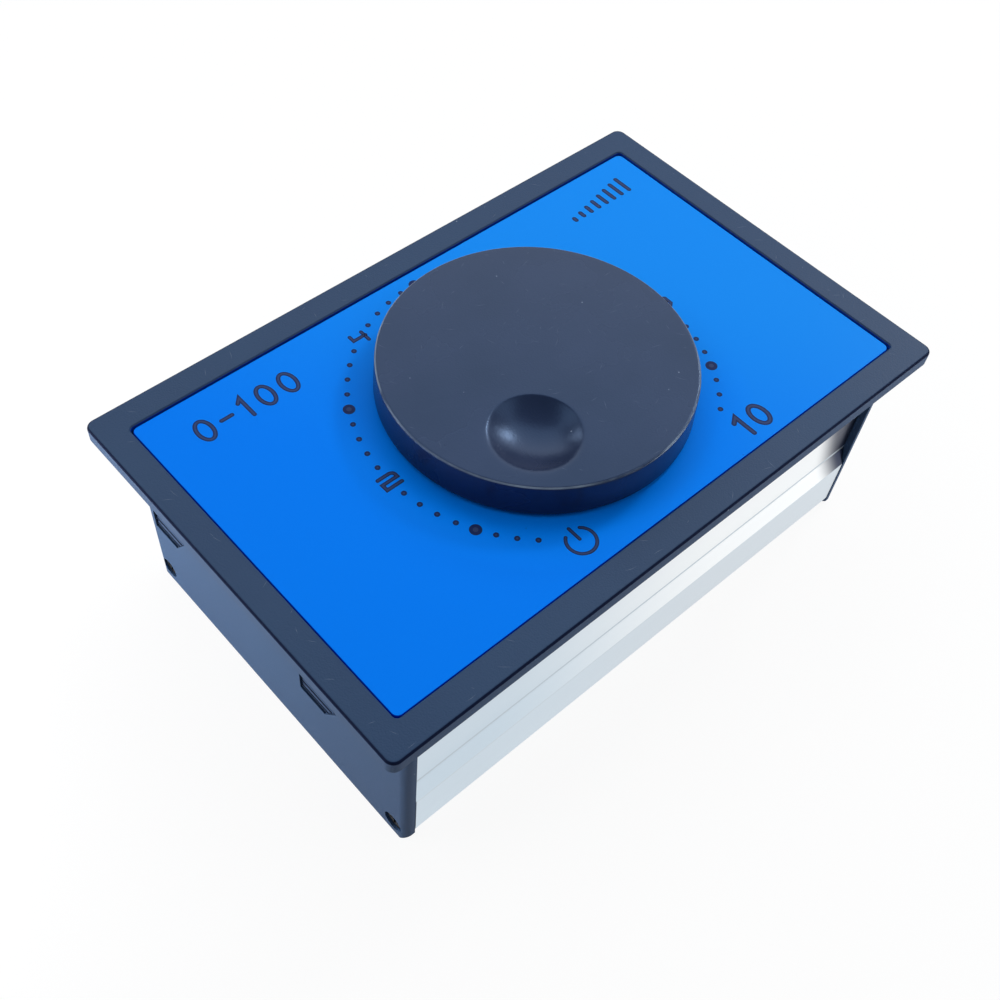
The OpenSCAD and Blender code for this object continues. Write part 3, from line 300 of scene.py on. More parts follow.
# what a finish has where its own dictionary says nothing else
plainFinish = {
    "roughness": 0.5,
    "metallic": 0.0,
    "specular": 0.5,
    "sheenTint": (1.0, 1.0, 1.0),
    "coat": 0.0,
    "coatRoughness": 0.1,
}
mouldedFinish = {
    **plainFinish,
    "otherTone": 1.25,
    "drift": 0.5,
    "driftScale": 60.0,
    "roughnessDrift": 0.08,
    "scratches": 0.0,
    "scratchScale": 260.0,
    "scratchDip": 1.5,
    "specks": 0.0,
    "speckScale": 240.0,
    "speckRadius": 0.1,
    "markColor": (0.35, 0.37, 0.4),
    "grainScale": 3200.0,
    "grainDepth": 0.00002,
    "grainStrength": 0.3,
    "zoneRoughness": 0.25,
    "zoneMetallic": 1.0,
}
workedFinish = {
    **plainFinish,
    "metallic": 1.0,
    "otherTone": 0.82,
    "drift": 0.4,
    "driftScale": 90.0,
    "roughnessDrift": 0.12,
    "lineScale": 6000.0,
    "lineTone": 0.2,
    "lineShade": 0.7,
    "lineDepth": 0.00001,
    "lineStrength": 0.25,
}


def newMaterial(name, constants):
    # material whose shader holds the given constants
    material = bpy.data.materials.new(name)
    material.use_nodes = True
    tree = material.node_tree
    shader = tree.nodes["Principled BSDF"]
    for socketName, value in constants.items():
        shader.inputs[socketName].default_value = value
    return material, tree, shader


def startMaterial(name, look):
    # material with its finish's constants set, and the object coordinates that its patterns read
    look = {**plainFinish, **look}
    material, tree, shader = newMaterial(name, {
        "Base Color": rgba(look["base"]), "Roughness": look["roughness"], "Metallic": look["metallic"],
        "Specular IOR Level": look["specular"], "Specular Tint": rgba(look["sheenTint"]),
        "Coat Weight": look["coat"], "Coat Roughness": look["coatRoughness"],
    })
    given = tree.nodes.new("ShaderNodeTexCoord").outputs
    return material, tree, shader, given["Object"], given["Normal"]


def otherTone(look):
    # the second tone of a finish, or its first one made lighter or darker
    return look.get("other", [channel * look["otherTone"] for channel in look["base"]])


def connectBump(tree, shader, height, distance, strength):
    inputs = {"Height": height, "Distance": distance, "Strength": strength}
    bump = newNode(tree, "ShaderNodeBump", inputs=inputs)
    tree.links.new(bump.outputs["Normal"], shader.inputs["Normal"])


def mouldedMaterial(name, look, zones=None, shade=None):
    # moulded or lacquered finish: two tones, grain, hair scratches and specks
    # shade paints light and shade by place, such as shade along rounded edges, and says how dull it is there
    # zones mark where another finish shows, such as the bare metal of legs
    look = {**mouldedFinish, **look}
    material, tree, shader, coordinates, facing = startMaterial(name, look)
    drift = driftTones(tree, coordinates, look["driftScale"], look["drift"], look["base"], otherTone(look))
    toned = drift["Color"]
    # a tone painted in towards one side, such as the painted sheen on the face's far corner
    if "far" in look:
        slope = slopeAlong(tree, coordinates, look["farWay"], look["farSpan"])
        toned = mixColors(tree, slope, toned, rgba(look["far"]))
    if shade:
        toned, dull = shade(tree, coordinates, facing, toned)
    marks = useGroup(tree, "handlingMarks", Vector=coordinates, Facing=facing,
                     Scratch_Scale=look["scratchScale"], Scratch_Amount=look["scratches"],
                     Speck_Scale=look["speckScale"], Speck_Radius=look["speckRadius"] * mm,
                     Speck_Amount=look["specks"])
    grain = useGroup(tree, "mouldGrain", Vector=coordinates, Scale=look["grainScale"])
    wearAndHighlight = maths(tree, "MAXIMUM", marks["Scratches"], marks["Specks"])
    color = mixColors(tree, wearAndHighlight, toned, rgba(look["markColor"]))
    roughness = maths(tree, "ADD", product(tree, drift["Mask"], look["roughnessDrift"]), look["roughness"])
    if shade:
        roughness = mixValues(tree, dull, roughness, 1.0)
    if zones:
        inside = zones(tree, coordinates)
        color = mixColors(tree, inside, color, rgba(look["zoneColor"]))
        roughness = mixValues(tree, inside, roughness, look["zoneRoughness"])
        tree.links.new(product(tree, inside, look["zoneMetallic"]), shader.inputs["Metallic"])
    tree.links.new(color, shader.inputs["Base Color"])
    tree.links.new(roughness, shader.inputs["Roughness"])
    height = maths(tree, "ADD", grain["Height"], product(tree, marks["Scratches"], -look["scratchDip"]))
    connectBump(tree, shader, height, look["grainDepth"], look["grainStrength"])
    return material


def metalMaterial(name, look, shade=None):
    # worked metal: draw or turning lines in tone and height, with a faint cloud of tarnish
    # shade paints reflections by place, such as on two bands of a profile
    look = {**workedFinish, **look}
    material, tree, shader, coordinates, _ = startMaterial(name, look)
    lines = useGroup(tree, "drawLines", Vector=coordinates, Scale=look["lineScale"])
    drift = driftTones(tree, coordinates, look["driftScale"], look["drift"], look["base"], otherTone(look))
    lineShare = maths(tree, "MULTIPLY", lines["Tone"], look["lineTone"], clamp=True)
    lineColor = look.get("lineColor", [channel * look["lineShade"] for channel in look["base"]])
    color = mixColors(tree, lineShare, drift["Color"], rgba(lineColor))
    if shade:
        color = shade(tree, coordinates, color)
    roughness = maths(tree, "ADD", product(tree, lines["Height"], look["roughnessDrift"]), look["roughness"])
    tree.links.new(color, shader.inputs["Base Color"])
    tree.links.new(roughness, shader.inputs["Roughness"])
    connectBump(tree, shader, lines["Height"], look["lineDepth"], look["lineStrength"])
    return material


def dialDistance(tree, coordinates):
    # distance from the dial's axis, in metres
    centred = newNode(tree, "ShaderNodeMapping", inputs={
        "Vector": coordinates, "Location": (-place["dialX"] * mm, -place["dialY"] * mm, 0.0),
        "Scale": (1.0, 1.0, 0.0)})
    length = newNode(tree, "ShaderNodeVectorMath", operation="LENGTH", inputs={0: centred.outputs[0]})
    return length.outputs["Value"]


def axisZone(axis, low, high):
    # zone between two planes across one axis, in mm
    def build(tree, coordinates):
        return spanMask(tree, axisValue(tree, coordinates, axis), (low, high), patternLook["planeSoft"])
    return build


def outsideZone(axis, low, high):
    inner = axisZone(axis, low, high)

    def build(tree, coordinates):
        return maths(tree, "SUBTRACT", 1.0, inner(tree, coordinates))
    return build


def setMaterial(nodeNames, material):
    for nodeName in nodeNames:
        node = nodes[nodeName]
        node.data.materials.clear()
        node.data.materials.append(material)


def gridFaces(rows, columns, closeRows=False):
    # quads of a grid of points: each row is closed round, and the last row meets the first where asked
    rowCount = rows if closeRows else rows - 1
    row, column = np.meshgrid(np.arange(rowCount), np.arange(columns), indexing="ij")
    nextRow, nextColumn = (row + 1) % rows, (column + 1) % columns
    quads = np.stack([row * columns + column, row * columns + nextColumn,
                      nextRow * columns + nextColumn, nextRow * columns + column], axis=-1)
    return quads.reshape(-1, 4)


def makePiece(name, points, faces, body, material, sharpDegrees=35.0):
    # mesh object in metres from points in mm, riding on a body
    mesh = bpy.data.meshes.new(name)
    mesh.from_pydata((np.asarray(points) * mm).tolist(), [], [list(map(int, face)) for face in faces])
    mesh.validate()
    mesh.materials.append(material)
    mesh.polygons.foreach_set("use_smooth", np.ones(len(mesh.polygons), bool))
    mesh.set_sharp_from_angle(angle=math.radians(sharpDegrees))
    piece = bpy.data.objects.new(name, mesh)
    scene.collection.objects.link(piece)
    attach(piece, body)
    return piece


def ringsToMesh(rings):
    # closed skin over a list of rings, with a fan to a middle point at each end
    count = rings.shape[1]
    points = rings.reshape(-1, 3)
    faces = gridFaces(len(rings), count).tolist()
    firstMiddle, lastMiddle = len(points), len(points) + 1
    points = np.vstack([points, rings[0].mean(0), rings[-1].mean(0)])
    lastStart = (len(rings) - 1) * count
    here = np.arange(count)
    after = (here + 1) % count
    faces += np.column_stack([np.full(count, firstMiddle), after, here]).tolist()
    faces += np.column_stack([np.full(count, lastMiddle), lastStart + here, lastStart + after]).tolist()
    return points, faces


knobLook = {
    "base": (0.0095, 0.0165, 0.044),
    "other": (0.0185, 0.028, 0.067),
    "drift": 0.95,
    "driftScale": 62.0,
    "roughness": 0.23,
    "specular": 0.46,
    "sheenTint": (0.32, 0.565, 1.0),
    "grainScale": 3400.0,
    "grainStrength": 0.4,
    "scratches": 0.2,
    "scratchScale": 290.0,
    "specks": 0.6,
    "markColor": (0.3, 0.36, 0.46),
    # painted highlight along the knob's rounded upper edge
    "rimHighlightTone": (0.3, 0.38, 0.48),
    "rimHighlightSpan": (0.45, 0.97),
    "rimHighlightSoft": 0.12,
    "rimHighlightRadius": 24.4,
    "rimHighlightShare": 0.75,
    "rimHighlightScale": 160.0,
}


def knobShade(tree, coordinates, facing, color):
    # painted highlight: the upper edge is painted pale where light catches its rounding, more in some places
    # than in others
    # the edge lies outside a radius about the dial's axis and looks neither straight up nor sideways
    low, high = knobLook["rimHighlightSpan"]
    rounding = zoneMask(tree, axisValue(tree, facing, 2), low, high, knobLook["rimHighlightSoft"])
    outer = maths(tree, "GREATER_THAN", dialDistance(tree, coordinates), knobLook["rimHighlightRadius"] * mm)
    patchy = driftTones(tree, coordinates, knobLook["rimHighlightScale"], knobLook["rimHighlightShare"],
                        knobLook["base"], knobLook["rimHighlightTone"])["Mask"]
    wearAndHighlight = product(tree, rounding, outer, patchy)
    return mixColors(tree, wearAndHighlight, color, rgba(knobLook["rimHighlightTone"])), wearAndHighlight


# sizes in mm, then how many rings each surface has and how they crowd towards its start
knobShape = {
    "topRadius": 25.1,
    "footRadius": 25.3,
    "edge": 0.45,
    "footBevel": 0.3,
    "rim": 2.2,
    "plate": 2.0,
    "hubRadius": 6.0,
    "hubLow": 1.4,
    "boreRadius": 3.05,
    "boreTop": 4.8,
    "dimpleAway": 14.6,
    "dimpleRadius": 7.2,
    "dimpleDepth": 2.2,
    "dimpleAngle": 225.0,
    "crispRim": 0.04,
    "softRim": 0.2,
    "padRadius": 8.5,
    "padStep": 1.2,
    "padDrop": 1.9,
    "padRibTop": 2.4,
    "ribs": 6,
    "ribHalf": 0.6,
    "ribLetIn": 0.3,
    "ribOverlap": 0.2,
    "segments": 288,
    "dimpleRings": 44,
    "dimpleCrowd": 1.7,
    "topRings": 80,
    "topCrowd": 1.6,
    "edgeRings": 11,
    "sideRings": 8,
    "footRings": 5,
    "underRings": 40,
    "sharpDegrees": 28.0,
}


def buildKnob(shape, look):
    # the top is a family of circles that slide from the dimple's rim to the knob's edge:
    # centre = away * (1 - s) and radius = rim + (edge - rim) * s, so no circle cuts another;
    # height is lowered by w * log(1 + exp(bowl / w)), a bowl with a rim softened over w
    turn = np.linspace(0.0, 2 * np.pi, shape["segments"], endpoint=False)
    circle = np.stack([np.cos(turn), np.sin(turn)], axis=-1)
    height = place["knobTop"] - place["knobFoot"]
    away, rimRadius, edge = shape["dimpleAway"], shape["dimpleRadius"], shape["edge"]
    flatRadius = shape["topRadius"] - edge
    rings = []

    def bowl(x, y):
        distance = np.hypot(x - away, y)
        towards = np.where(distance > 1e-6, (x - away) / np.maximum(distance, 1e-6), 0.0)
        width = shape["crispRim"] + (shape["softRim"] - shape["crispRim"]) * (0.5 + 0.5 * towards)
        curve = shape["dimpleDepth"] * (1.0 - (distance / rimRadius) ** 2)
        return width * np.logaddexp(0.0, curve / width)

    def addRing(centre, radius, z, lowered=False):
        x = centre + radius * circle[:, 0]
        y = radius * circle[:, 1]
        drop = bowl(x, y) if lowered else 0.0
        rings.append(np.stack([x, y, z - drop + np.zeros_like(x)], axis=-1))

    def steps(count, end=1.0):
        return np.linspace(0.0, end, count)[1:]

    # inside the dimple, closer together towards its rim; then the flat top
    for s in 1.0 - (1.0 - steps(shape["dimpleRings"])) ** shape["dimpleCrowd"]:
        addRing(away, rimRadius * s, height, True)
    for s in steps(shape["topRings"]) ** shape["topCrowd"]:
        addRing(away * (1.0 - s), rimRadius + (flatRadius - rimRadius) * s, height, True)
    # rounded edge, side, foot and the rim's underside
    for angle in steps(shape["edgeRings"], 0.5 * np.pi):
        addRing(0.0, flatRadius + edge * math.sin(angle), height - edge * (1.0 - math.cos(angle)))
    sideTop, bevel = height - edge, shape["footBevel"]
    for s in steps(shape["sideRings"]):
        addRing(0.0, shape["topRadius"] + (shape["footRadius"] - shape["topRadius"]) * s,
                sideTop + (bevel - sideTop) * s)
    for angle in steps(shape["footRings"], 0.5 * np.pi):
        addRing(0.0, shape["footRadius"] - bevel * (1.0 - math.cos(angle)), bevel * (1.0 - math.sin(angle)))
    under = height - shape["plate"]
    inner = shape["footRadius"] - shape["rim"]
    addRing(0.0, inner, 0.0)
    addRing(0.0, inner, under)

    # underside: the plate swells down under the dimple by a smooth step over its pad
    for radius in np.linspace(inner, shape["hubRadius"], shape["underRings"])[1:]:
        x, y = radius * circle[:, 0], radius * circle[:, 1]
        share = np.clip((shape["padRadius"] - np.hypot(x - away, y)) / shape["padStep"], 0.0, 1.0)
        swell = shape["padDrop"] * share * share * (3.0 - 2.0 * share)
        rings.append(np.stack([x, y, under - swell], axis=-1))
    addRing(0.0, shape["hubRadius"], shape["hubLow"])
    addRing(0.0, shape["boreRadius"], shape["hubLow"])
    addRing(0.0, shape["boreRadius"], shape["boreTop"])
    points, faces = ringsToMesh(np.array(rings))
    faces = [face[::-1] for face in faces]

    # ribs under the plate, each a closed bar let into hub and rim
    # the rib under the dimple ends inside its pad
    ribQuads = ((0, 1, 3, 2), (4, 6, 7, 5), (0, 4, 5, 1), (2, 3, 7, 6), (0, 2, 6, 4), (1, 5, 7, 3))
    half, letIn = shape["ribHalf"], shape["ribLetIn"]
    for k in range(shape["ribs"]):
        ribHigh = under + shape["ribOverlap"] if k else shape["padRibTop"]
        angle = k * 2 * np.pi / shape["ribs"]
        along = np.array([math.cos(angle), math.sin(angle), 0.0])
        across = np.array([-math.sin(angle), math.cos(angle), 0.0])
        start = len(points)
        corners = [along * reach + across * side + np.array([0.0, 0.0, z])
                   for reach in (shape["hubRadius"] - letIn, inner + letIn)
                   for side in (-half, half) for z in (shape["hubLow"], ribHigh)]
        points = np.vstack([points, corners])
        faces += [[start + i for i in quad] for quad in ribQuads]

    spin = math.radians(shape["dimpleAngle"])
    turned = np.stack([
        points[:, 0] * math.cos(spin) - points[:, 1] * math.sin(spin) + place["dialX"],
        points[:, 0] * math.sin(spin) + points[:, 1] * math.cos(spin) + place["dialY"],
        points[:, 2] + place["knobFoot"],
    ], axis=-1)
    plastic = mouldedMaterial("knobPlastic", look, shade=knobShade)
    piece = makePiece("knobShell", turned, faces, "dial_knob", plastic, shape["sharpDegrees"])
    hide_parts("knob")
    return piece


knobShell = buildKnob(knobShape, knobLook)
print("knob:", len(knobShell.data.polygons), "faces")

# ink lies in two layers: the stroke, and a paler line along its middle; sizes in mm
printLook = {
    "finish": {"drift": 0.5, "driftScale": 400.0, "roughness": 0.55, "specular": 0.1,
               "grainScale": 6000.0, "grainDepth": 0.000006, "grainStrength": 0.2},
    "otherTone": 1.3,
    "sink": 0.02,
    # name: share of the stroke's width, height over the film, colour
    "layers": {"faceInk": (1.0, 0.012, (0.008, 0.02, 0.09)),
               "faceInkMiddle": (0.42, 0.02, (0.028, 0.05, 0.135))},
    "sharpestMitre": 0.35,
    "capSteps": 7,
    "capTip": 0.02,
    "discCorners": 28,
}

# the dots stand at every step from the first to the last, with a digit or a big dot at some
dialPrint = {
    "ringRadius": 29.35,
    "zeroAngle": 240.0,
    "step": 6.0,
    "firstDot": 2,
    "lastDot": 48,
    "digitAt": {10: "2", 20: "4", 30: "6", 40: "8"},
    "bigDotAt": (5, 15, 25, 35, 45),
    "smallDot": 0.46,
    "bigDot": 0.98,
    "digitHeight": 2.25,
    "digitWidth": 2.8,
    "stroke": 0.66,
}

facePrint = {
    "powerCentre": (-14.0, -26.5),
    "powerRadius": 2.3,
    "powerArc": (128, 412, 40),
    "powerBarFoot": 0.35,
    "powerStroke": 0.58,
    "tenCentre": (23.0, -27.1),
    "tenDigits": (("1", -2.2), ("0", 1.5)),
    "tenHeight": 4.0,
    "tenWidth": 3.1,
    "tenStroke": 0.84,
    "rangeLeft": -45.6,
    "rangeMiddleY": 24.3,
    "rangeDigits": (("0", 3.4), ("-", 2.8), ("1", 2.5), ("0", 3.4), ("0", 3.4)),
    "rangeHeight": 4.1,
    "rangeFill": 0.86,
    "rangeGap": 0.85,
    "rangeStroke": 0.72,
    "bars": 8,
    "barsLeft": 33.5,
    "barsLow": 23.2,
    "barPitch": 1.9,
    "barShortest": 0.5,
    "barStep": 0.42,
    "barStroke": 0.84,
}


def arcPath(centreX, centreY, radiusX, radiusY, fromDegrees, toDegrees, count):
    # points of an ellipse's arc
    angle = np.radians(np.linspace(fromDegrees, toDegrees, count))
    return np.stack([centreX + radiusX * np.cos(angle), centreY + radiusY * np.sin(angle)], axis=-1)


def polyline(*corners):
    return np.array(corners, float)


# digits in a box one high and one wide, middle at zero; a path that ends where it starts is closed
digitPaths = {
    "0": [arcPath(0.0, 0.0, 0.42, 0.5, 90, 450, 40)],
    "1": [polyline((-0.28, 0.3), (0.08, 0.5), (0.08, -0.5))],
    "2": [np.vstack([polyline((-0.5, 0.5)), arcPath(0.22, 0.22, 0.28, 0.28, 90, 0, 8),
                     polyline((0.5, 0.0), (-0.5, 0.0), (-0.5, -0.5), (0.5, -0.5))])],
    "4": [polyline((-0.45, 0.5), (-0.45, 0.02), (0.4, 0.02)), polyline((0.33, 0.42), (0.33, -0.5))],
    "6": [polyline((0.5, 0.5), (-0.3, 0.5), (-0.5, 0.3), (-0.5, -0.5), (0.5, -0.5), (0.5, 0.0), (-0.36, 0.0))],
    "8": [polyline((0.3, 0.5), (0.5, 0.3), (0.5, -0.3), (0.3, -0.5), (-0.3, -0.5), (-0.5, -0.3), (-0.5, 0.3),
                   (-0.3, 0.5), (0.3, 0.5)), polyline((-0.36, 0.0), (0.36, 0.0))],
    "-": [polyline((-0.4, 0.0), (0.4, 0.0))],
}


def offsetSides(path, half, closed):
    # points to the left and right of a path at a distance half, with mitred corners
    before = np.roll(path, 1, axis=0) if closed else np.vstack([path[:1] * 2 - path[1:2], path[:-1]])
    after = np.roll(path, -1, axis=0) if closed else np.vstack([path[1:], path[-1:] * 2 - path[-2:-1]])
    into, out = path - before, after - path
    into /= np.linalg.norm(into, axis=1)[:, None]
    out /= np.linalg.norm(out, axis=1)[:, None]
    normal = np.stack([-(into[:, 1] + out[:, 1]), into[:, 0] + out[:, 0]], axis=-1)
    normal /= np.linalg.norm(normal, axis=1)[:, None]
    outNormal = np.stack([-out[:, 1], out[:, 0]], axis=-1)
    cosine = np.clip((normal * outNormal).sum(1), printLook["sharpestMitre"], 1.0)
    reach = (half / cosine)[:, None] * normal
    return path + reach, path - reach


def inkStroke(path, half, lowZ, highZ):
    # closed thin slab along a path: a four-cornered section carried along it, with round ends
    closed = np.allclose(path[0], path[-1])
    line = path[:-1] if closed else path
    left, right = offsetSides(line, half, closed)
    if not closed:
        # round caps: the section narrows over a half circle past each end
        angle = np.linspace(0.0, 0.5 * np.pi, printLook["capSteps"])[1:]
        narrowing = half * np.maximum(np.cos(angle), printLook["capTip"])
        for atStart in (True, False):
            end, inward = (line[0], line[1]) if atStart else (line[-1], line[-2])
            ahead = (end - inward) / np.linalg.norm(end - inward)
            across = np.array([-ahead[1], ahead[0]]) * (-1.0 if atStart else 1.0)
            tip = end + half * np.outer(np.sin(angle), ahead)
            width = np.outer(narrowing, across)
            if atStart:
                left, right = np.vstack([(tip + width)[::-1], left]), np.vstack([(tip - width)[::-1], right])
            else:
                left, right = np.vstack([left, tip + width]), np.vstack([right, tip - width])
    count = len(left)
    section = np.stack([np.column_stack([side, np.full(count, z)]) for side, z in (
        (left, lowZ), (right, lowZ), (right, highZ), (left, highZ))], axis=1)
    faces = gridFaces(count, 4, closeRows=closed).tolist()
    if not closed:
        last = (count - 1) * 4
        faces += [[3, 2, 1, 0], [last, last + 1, last + 2, last + 3]]
    return section.reshape(-1, 3), faces


def inkDisc(centre, radius, lowZ, highZ):
    # closed round slab: a ring of points at each height
    count = printLook["discCorners"]
    angle = np.linspace(0.0, 2 * np.pi, count, endpoint=False)
    ring = np.column_stack([centre[0] + radius * np.cos(angle), centre[1] + radius * np.sin(angle)])
    points = np.vstack([np.column_stack([ring, np.full(count, z)]) for z in (lowZ, highZ)])
    faces = [[i, (i + 1) % count, count + (i + 1) % count, count + i] for i in range(count)]
    faces += [list(range(count))[::-1], list(range(count, 2 * count))]
    return points, faces


def placeDigit(digit, centre, height, width):
    # a digit's paths in mm, upright
    return [path * (width, height) + centre for path in digitPaths[digit]]


def dialMarks():
    # dots and digits at even steps round the dial
    strokes, discs = [], []
    for index in range(dialPrint["firstDot"], dialPrint["lastDot"] + 1):
        angle = math.radians(dialPrint["zeroAngle"] - dialPrint["step"] * index)
        spot = dialPrint["ringRadius"] * np.array([math.cos(angle), math.sin(angle)])
        spot = spot + (place["dialX"], place["dialY"])
        if index in dialPrint["digitAt"]:
            strokes += [(path, dialPrint["stroke"] / 2) for path in placeDigit(
                dialPrint["digitAt"][index], spot, dialPrint["digitHeight"], dialPrint["digitWidth"])]
        else:
            discs.append((spot, dialPrint["bigDot" if index in dialPrint["bigDotAt"] else "smallDot"]))
    return strokes, discs


def faceMarks():
    # standby symbol: a ring open at the top with a bar in the gap
    x, y = facePrint["powerCentre"]
    radius = facePrint["powerRadius"]
    foot = facePrint["powerBarFoot"]
    strokes = [(path, facePrint["powerStroke"] / 2) for path in (
        arcPath(x, y, radius, radius, *facePrint["powerArc"]), polyline((x, y + foot), (x, y + radius + foot)))]
    # number at the end of the dial
    tenX, tenY = facePrint["tenCentre"]
    for digit, shift in facePrint["tenDigits"]:
        for path in placeDigit(digit, (tenX + shift, tenY), facePrint["tenHeight"], facePrint["tenWidth"]):
            strokes.append((path, facePrint["tenStroke"] / 2))
    # plain scale range at the left
    pen = facePrint["rangeLeft"]
    for digit, wide in facePrint["rangeDigits"]:
        middle = (pen + wide / 2, facePrint["rangeMiddleY"])
        for path in placeDigit(digit, middle, facePrint["rangeHeight"], wide * facePrint["rangeFill"]):
            strokes.append((path, facePrint["rangeStroke"] / 2))
        pen += wide + facePrint["rangeGap"]
    # rising bars
    low = facePrint["barsLow"]
    for k in range(facePrint["bars"]):
        left = facePrint["barsLeft"] + k * facePrint["barPitch"]
        top = low + facePrint["barShortest"] + facePrint["barStep"] * k
        strokes.append((polyline((left, low), (left, top)), facePrint["barStroke"] / 2))
    return strokes


def buildPrint():
    strokes, discs = dialMarks()
    strokes += faceMarks()
    base = place["faceTop"] - printLook["sink"]
    for name, (share, lift, color) in printLook["layers"].items():
        top = place["faceTop"] + lift
        slabs = [inkStroke(path, half * share, base, top) for path, half in strokes]
        slabs += [inkDisc(spot, radius * share, base, top) for spot, radius in discs]
        allPoints, allFaces, count = [], [], 0
        for points, faces in slabs:
            allPoints.append(points)
            allFaces += [[i + count for i in face] for face in faces]
            count += len(points)
        ink = mouldedMaterial(name, {**printLook["finish"], "base": color, "otherTone": printLook["otherTone"]})
        piece = makePiece(name, np.vstack(allPoints), allFaces, "housing", ink)
    print("print:", len(strokes), "strokes,", len(discs), "dots")


buildPrint()

faceLook = {
    "base": (0.0, 0.19, 0.87),
    "other": (0.0, 0.2, 0.88),
    # painted sheen: the film is painted paler towards its far corner
    "far": (0.006, 0.245, 0.84),
    "farWay": (0.8, 0.6, 0.0),
    "farSpan": (-25.0, 32.0),
    "drift": 0.7,
    "driftScale": 14.0,
    "roughness": 0.34,
    "roughnessDrift": 0.05,
    "specular": 0.02,
    "grainScale": 2400.0,
    "grainDepth": 0.000006,
    "grainStrength": 0.12,
    "specks": 0.5,
    "speckScale": 170.0,
    "speckRadius": 0.12,
    "markColor": (0.01, 0.06, 0.45),
    # painted shade: the film's rounded rim is darkened to a deep blue
    "rimShadeTone": (0.0, 0.03, 0.42),
    "rimSpan": (-1.0, 0.96),
    "rimSoft": 0.1,
    "rimDull": 0.5,
    # painted light that lifts the knob's shadow on the film's front side
    "paintedLightTone": (0.0, 0.235, 1.0),
    "litRadii": (-1.0, 35.0),
    "litSoft": 6.0,
    "litWay": (-0.5, -0.87, 0.0),
    "litSpan": (-6.0, 14.0),
}


def faceShade(tree, coordinates, facing, color):
    # painted light: beside the knob's front edge, where the knob's shadow falls, the film is painted brighter:
    # a tone inside a radius about the dial's axis, on the side that litWay points to; the film's rounded rim is
    # painted a deeper blue as shade
    nearby = spanMask(tree, dialDistance(tree, coordinates), faceLook["litRadii"], faceLook["litSoft"])
    front = slopeAlong(tree, coordinates, faceLook["litWay"], faceLook["litSpan"])
    color = mixColors(tree, product(tree, nearby, front), color, rgba(faceLook["paintedLightTone"]))
    # painted shade on the film's rounded rim
    rim = zoneMask(tree, axisValue(tree, facing, 2), *faceLook["rimSpan"], faceLook["rimSoft"])
    return mixColors(tree, rim, color, rgba(faceLook["rimShadeTone"])), product(tree, rim, faceLook["rimDull"])


setMaterial(["face_plate"], mouldedMaterial("faceFilm", faceLook, shade=faceShade))

# places in mm; spans of edges are of how far a surface looks up, 1 straight up and -1 straight down
bezelLook = {
    "base": (0.021, 0.052, 0.118),
    "other": (0.027, 0.062, 0.132),
    "drift": 0.7,
    "driftScale": 50.0,
    "roughness": 0.44,
    "specular": 0.16,
    "grainScale": 3600.0,
    "grainDepth": 0.00003,
    "grainStrength": 0.6,
    "scratches": 0.34,
    "scratchScale": 290.0,
    "specks": 0.7,
    "markColor": (0.3, 0.36, 0.46),
    "edgeShadeTone": (0.001, 0.006, 0.03),
    "edgeDull": 0.9,
    "edgeSpans": ((0.2, 0.985), (-0.9, -0.12)),
    "edgeSoft": 0.1,
    "sideLimit": 0.5,
    "sideDull": 0.3,
    "rimX": 56.5,
    "rimY": 35.5,
    "wallX": 54.0,
    "wallY": 33.0,
    "wallZ": 39.0,
    "wallReflectionTone": (0.0, 0.05, 0.38),
    "pocketX": (51.3, 52.33),
    "pocketY": (-1.0, 31.6),
    "pocketZ": (14.9, 33.1),
    "pocketSoft": 0.05,
    "ribPitch": 0.3625,
    "ribStart": 15.44,
    "crestSpan": (0.22, 2.0),
    "crestSoft": 0.12,
    "crestDull": 0.6,
    "grooveShadeTone": (0.001, 0.004, 0.014),
    "crestHighlightTone": (0.035, 0.07, 0.15),
}


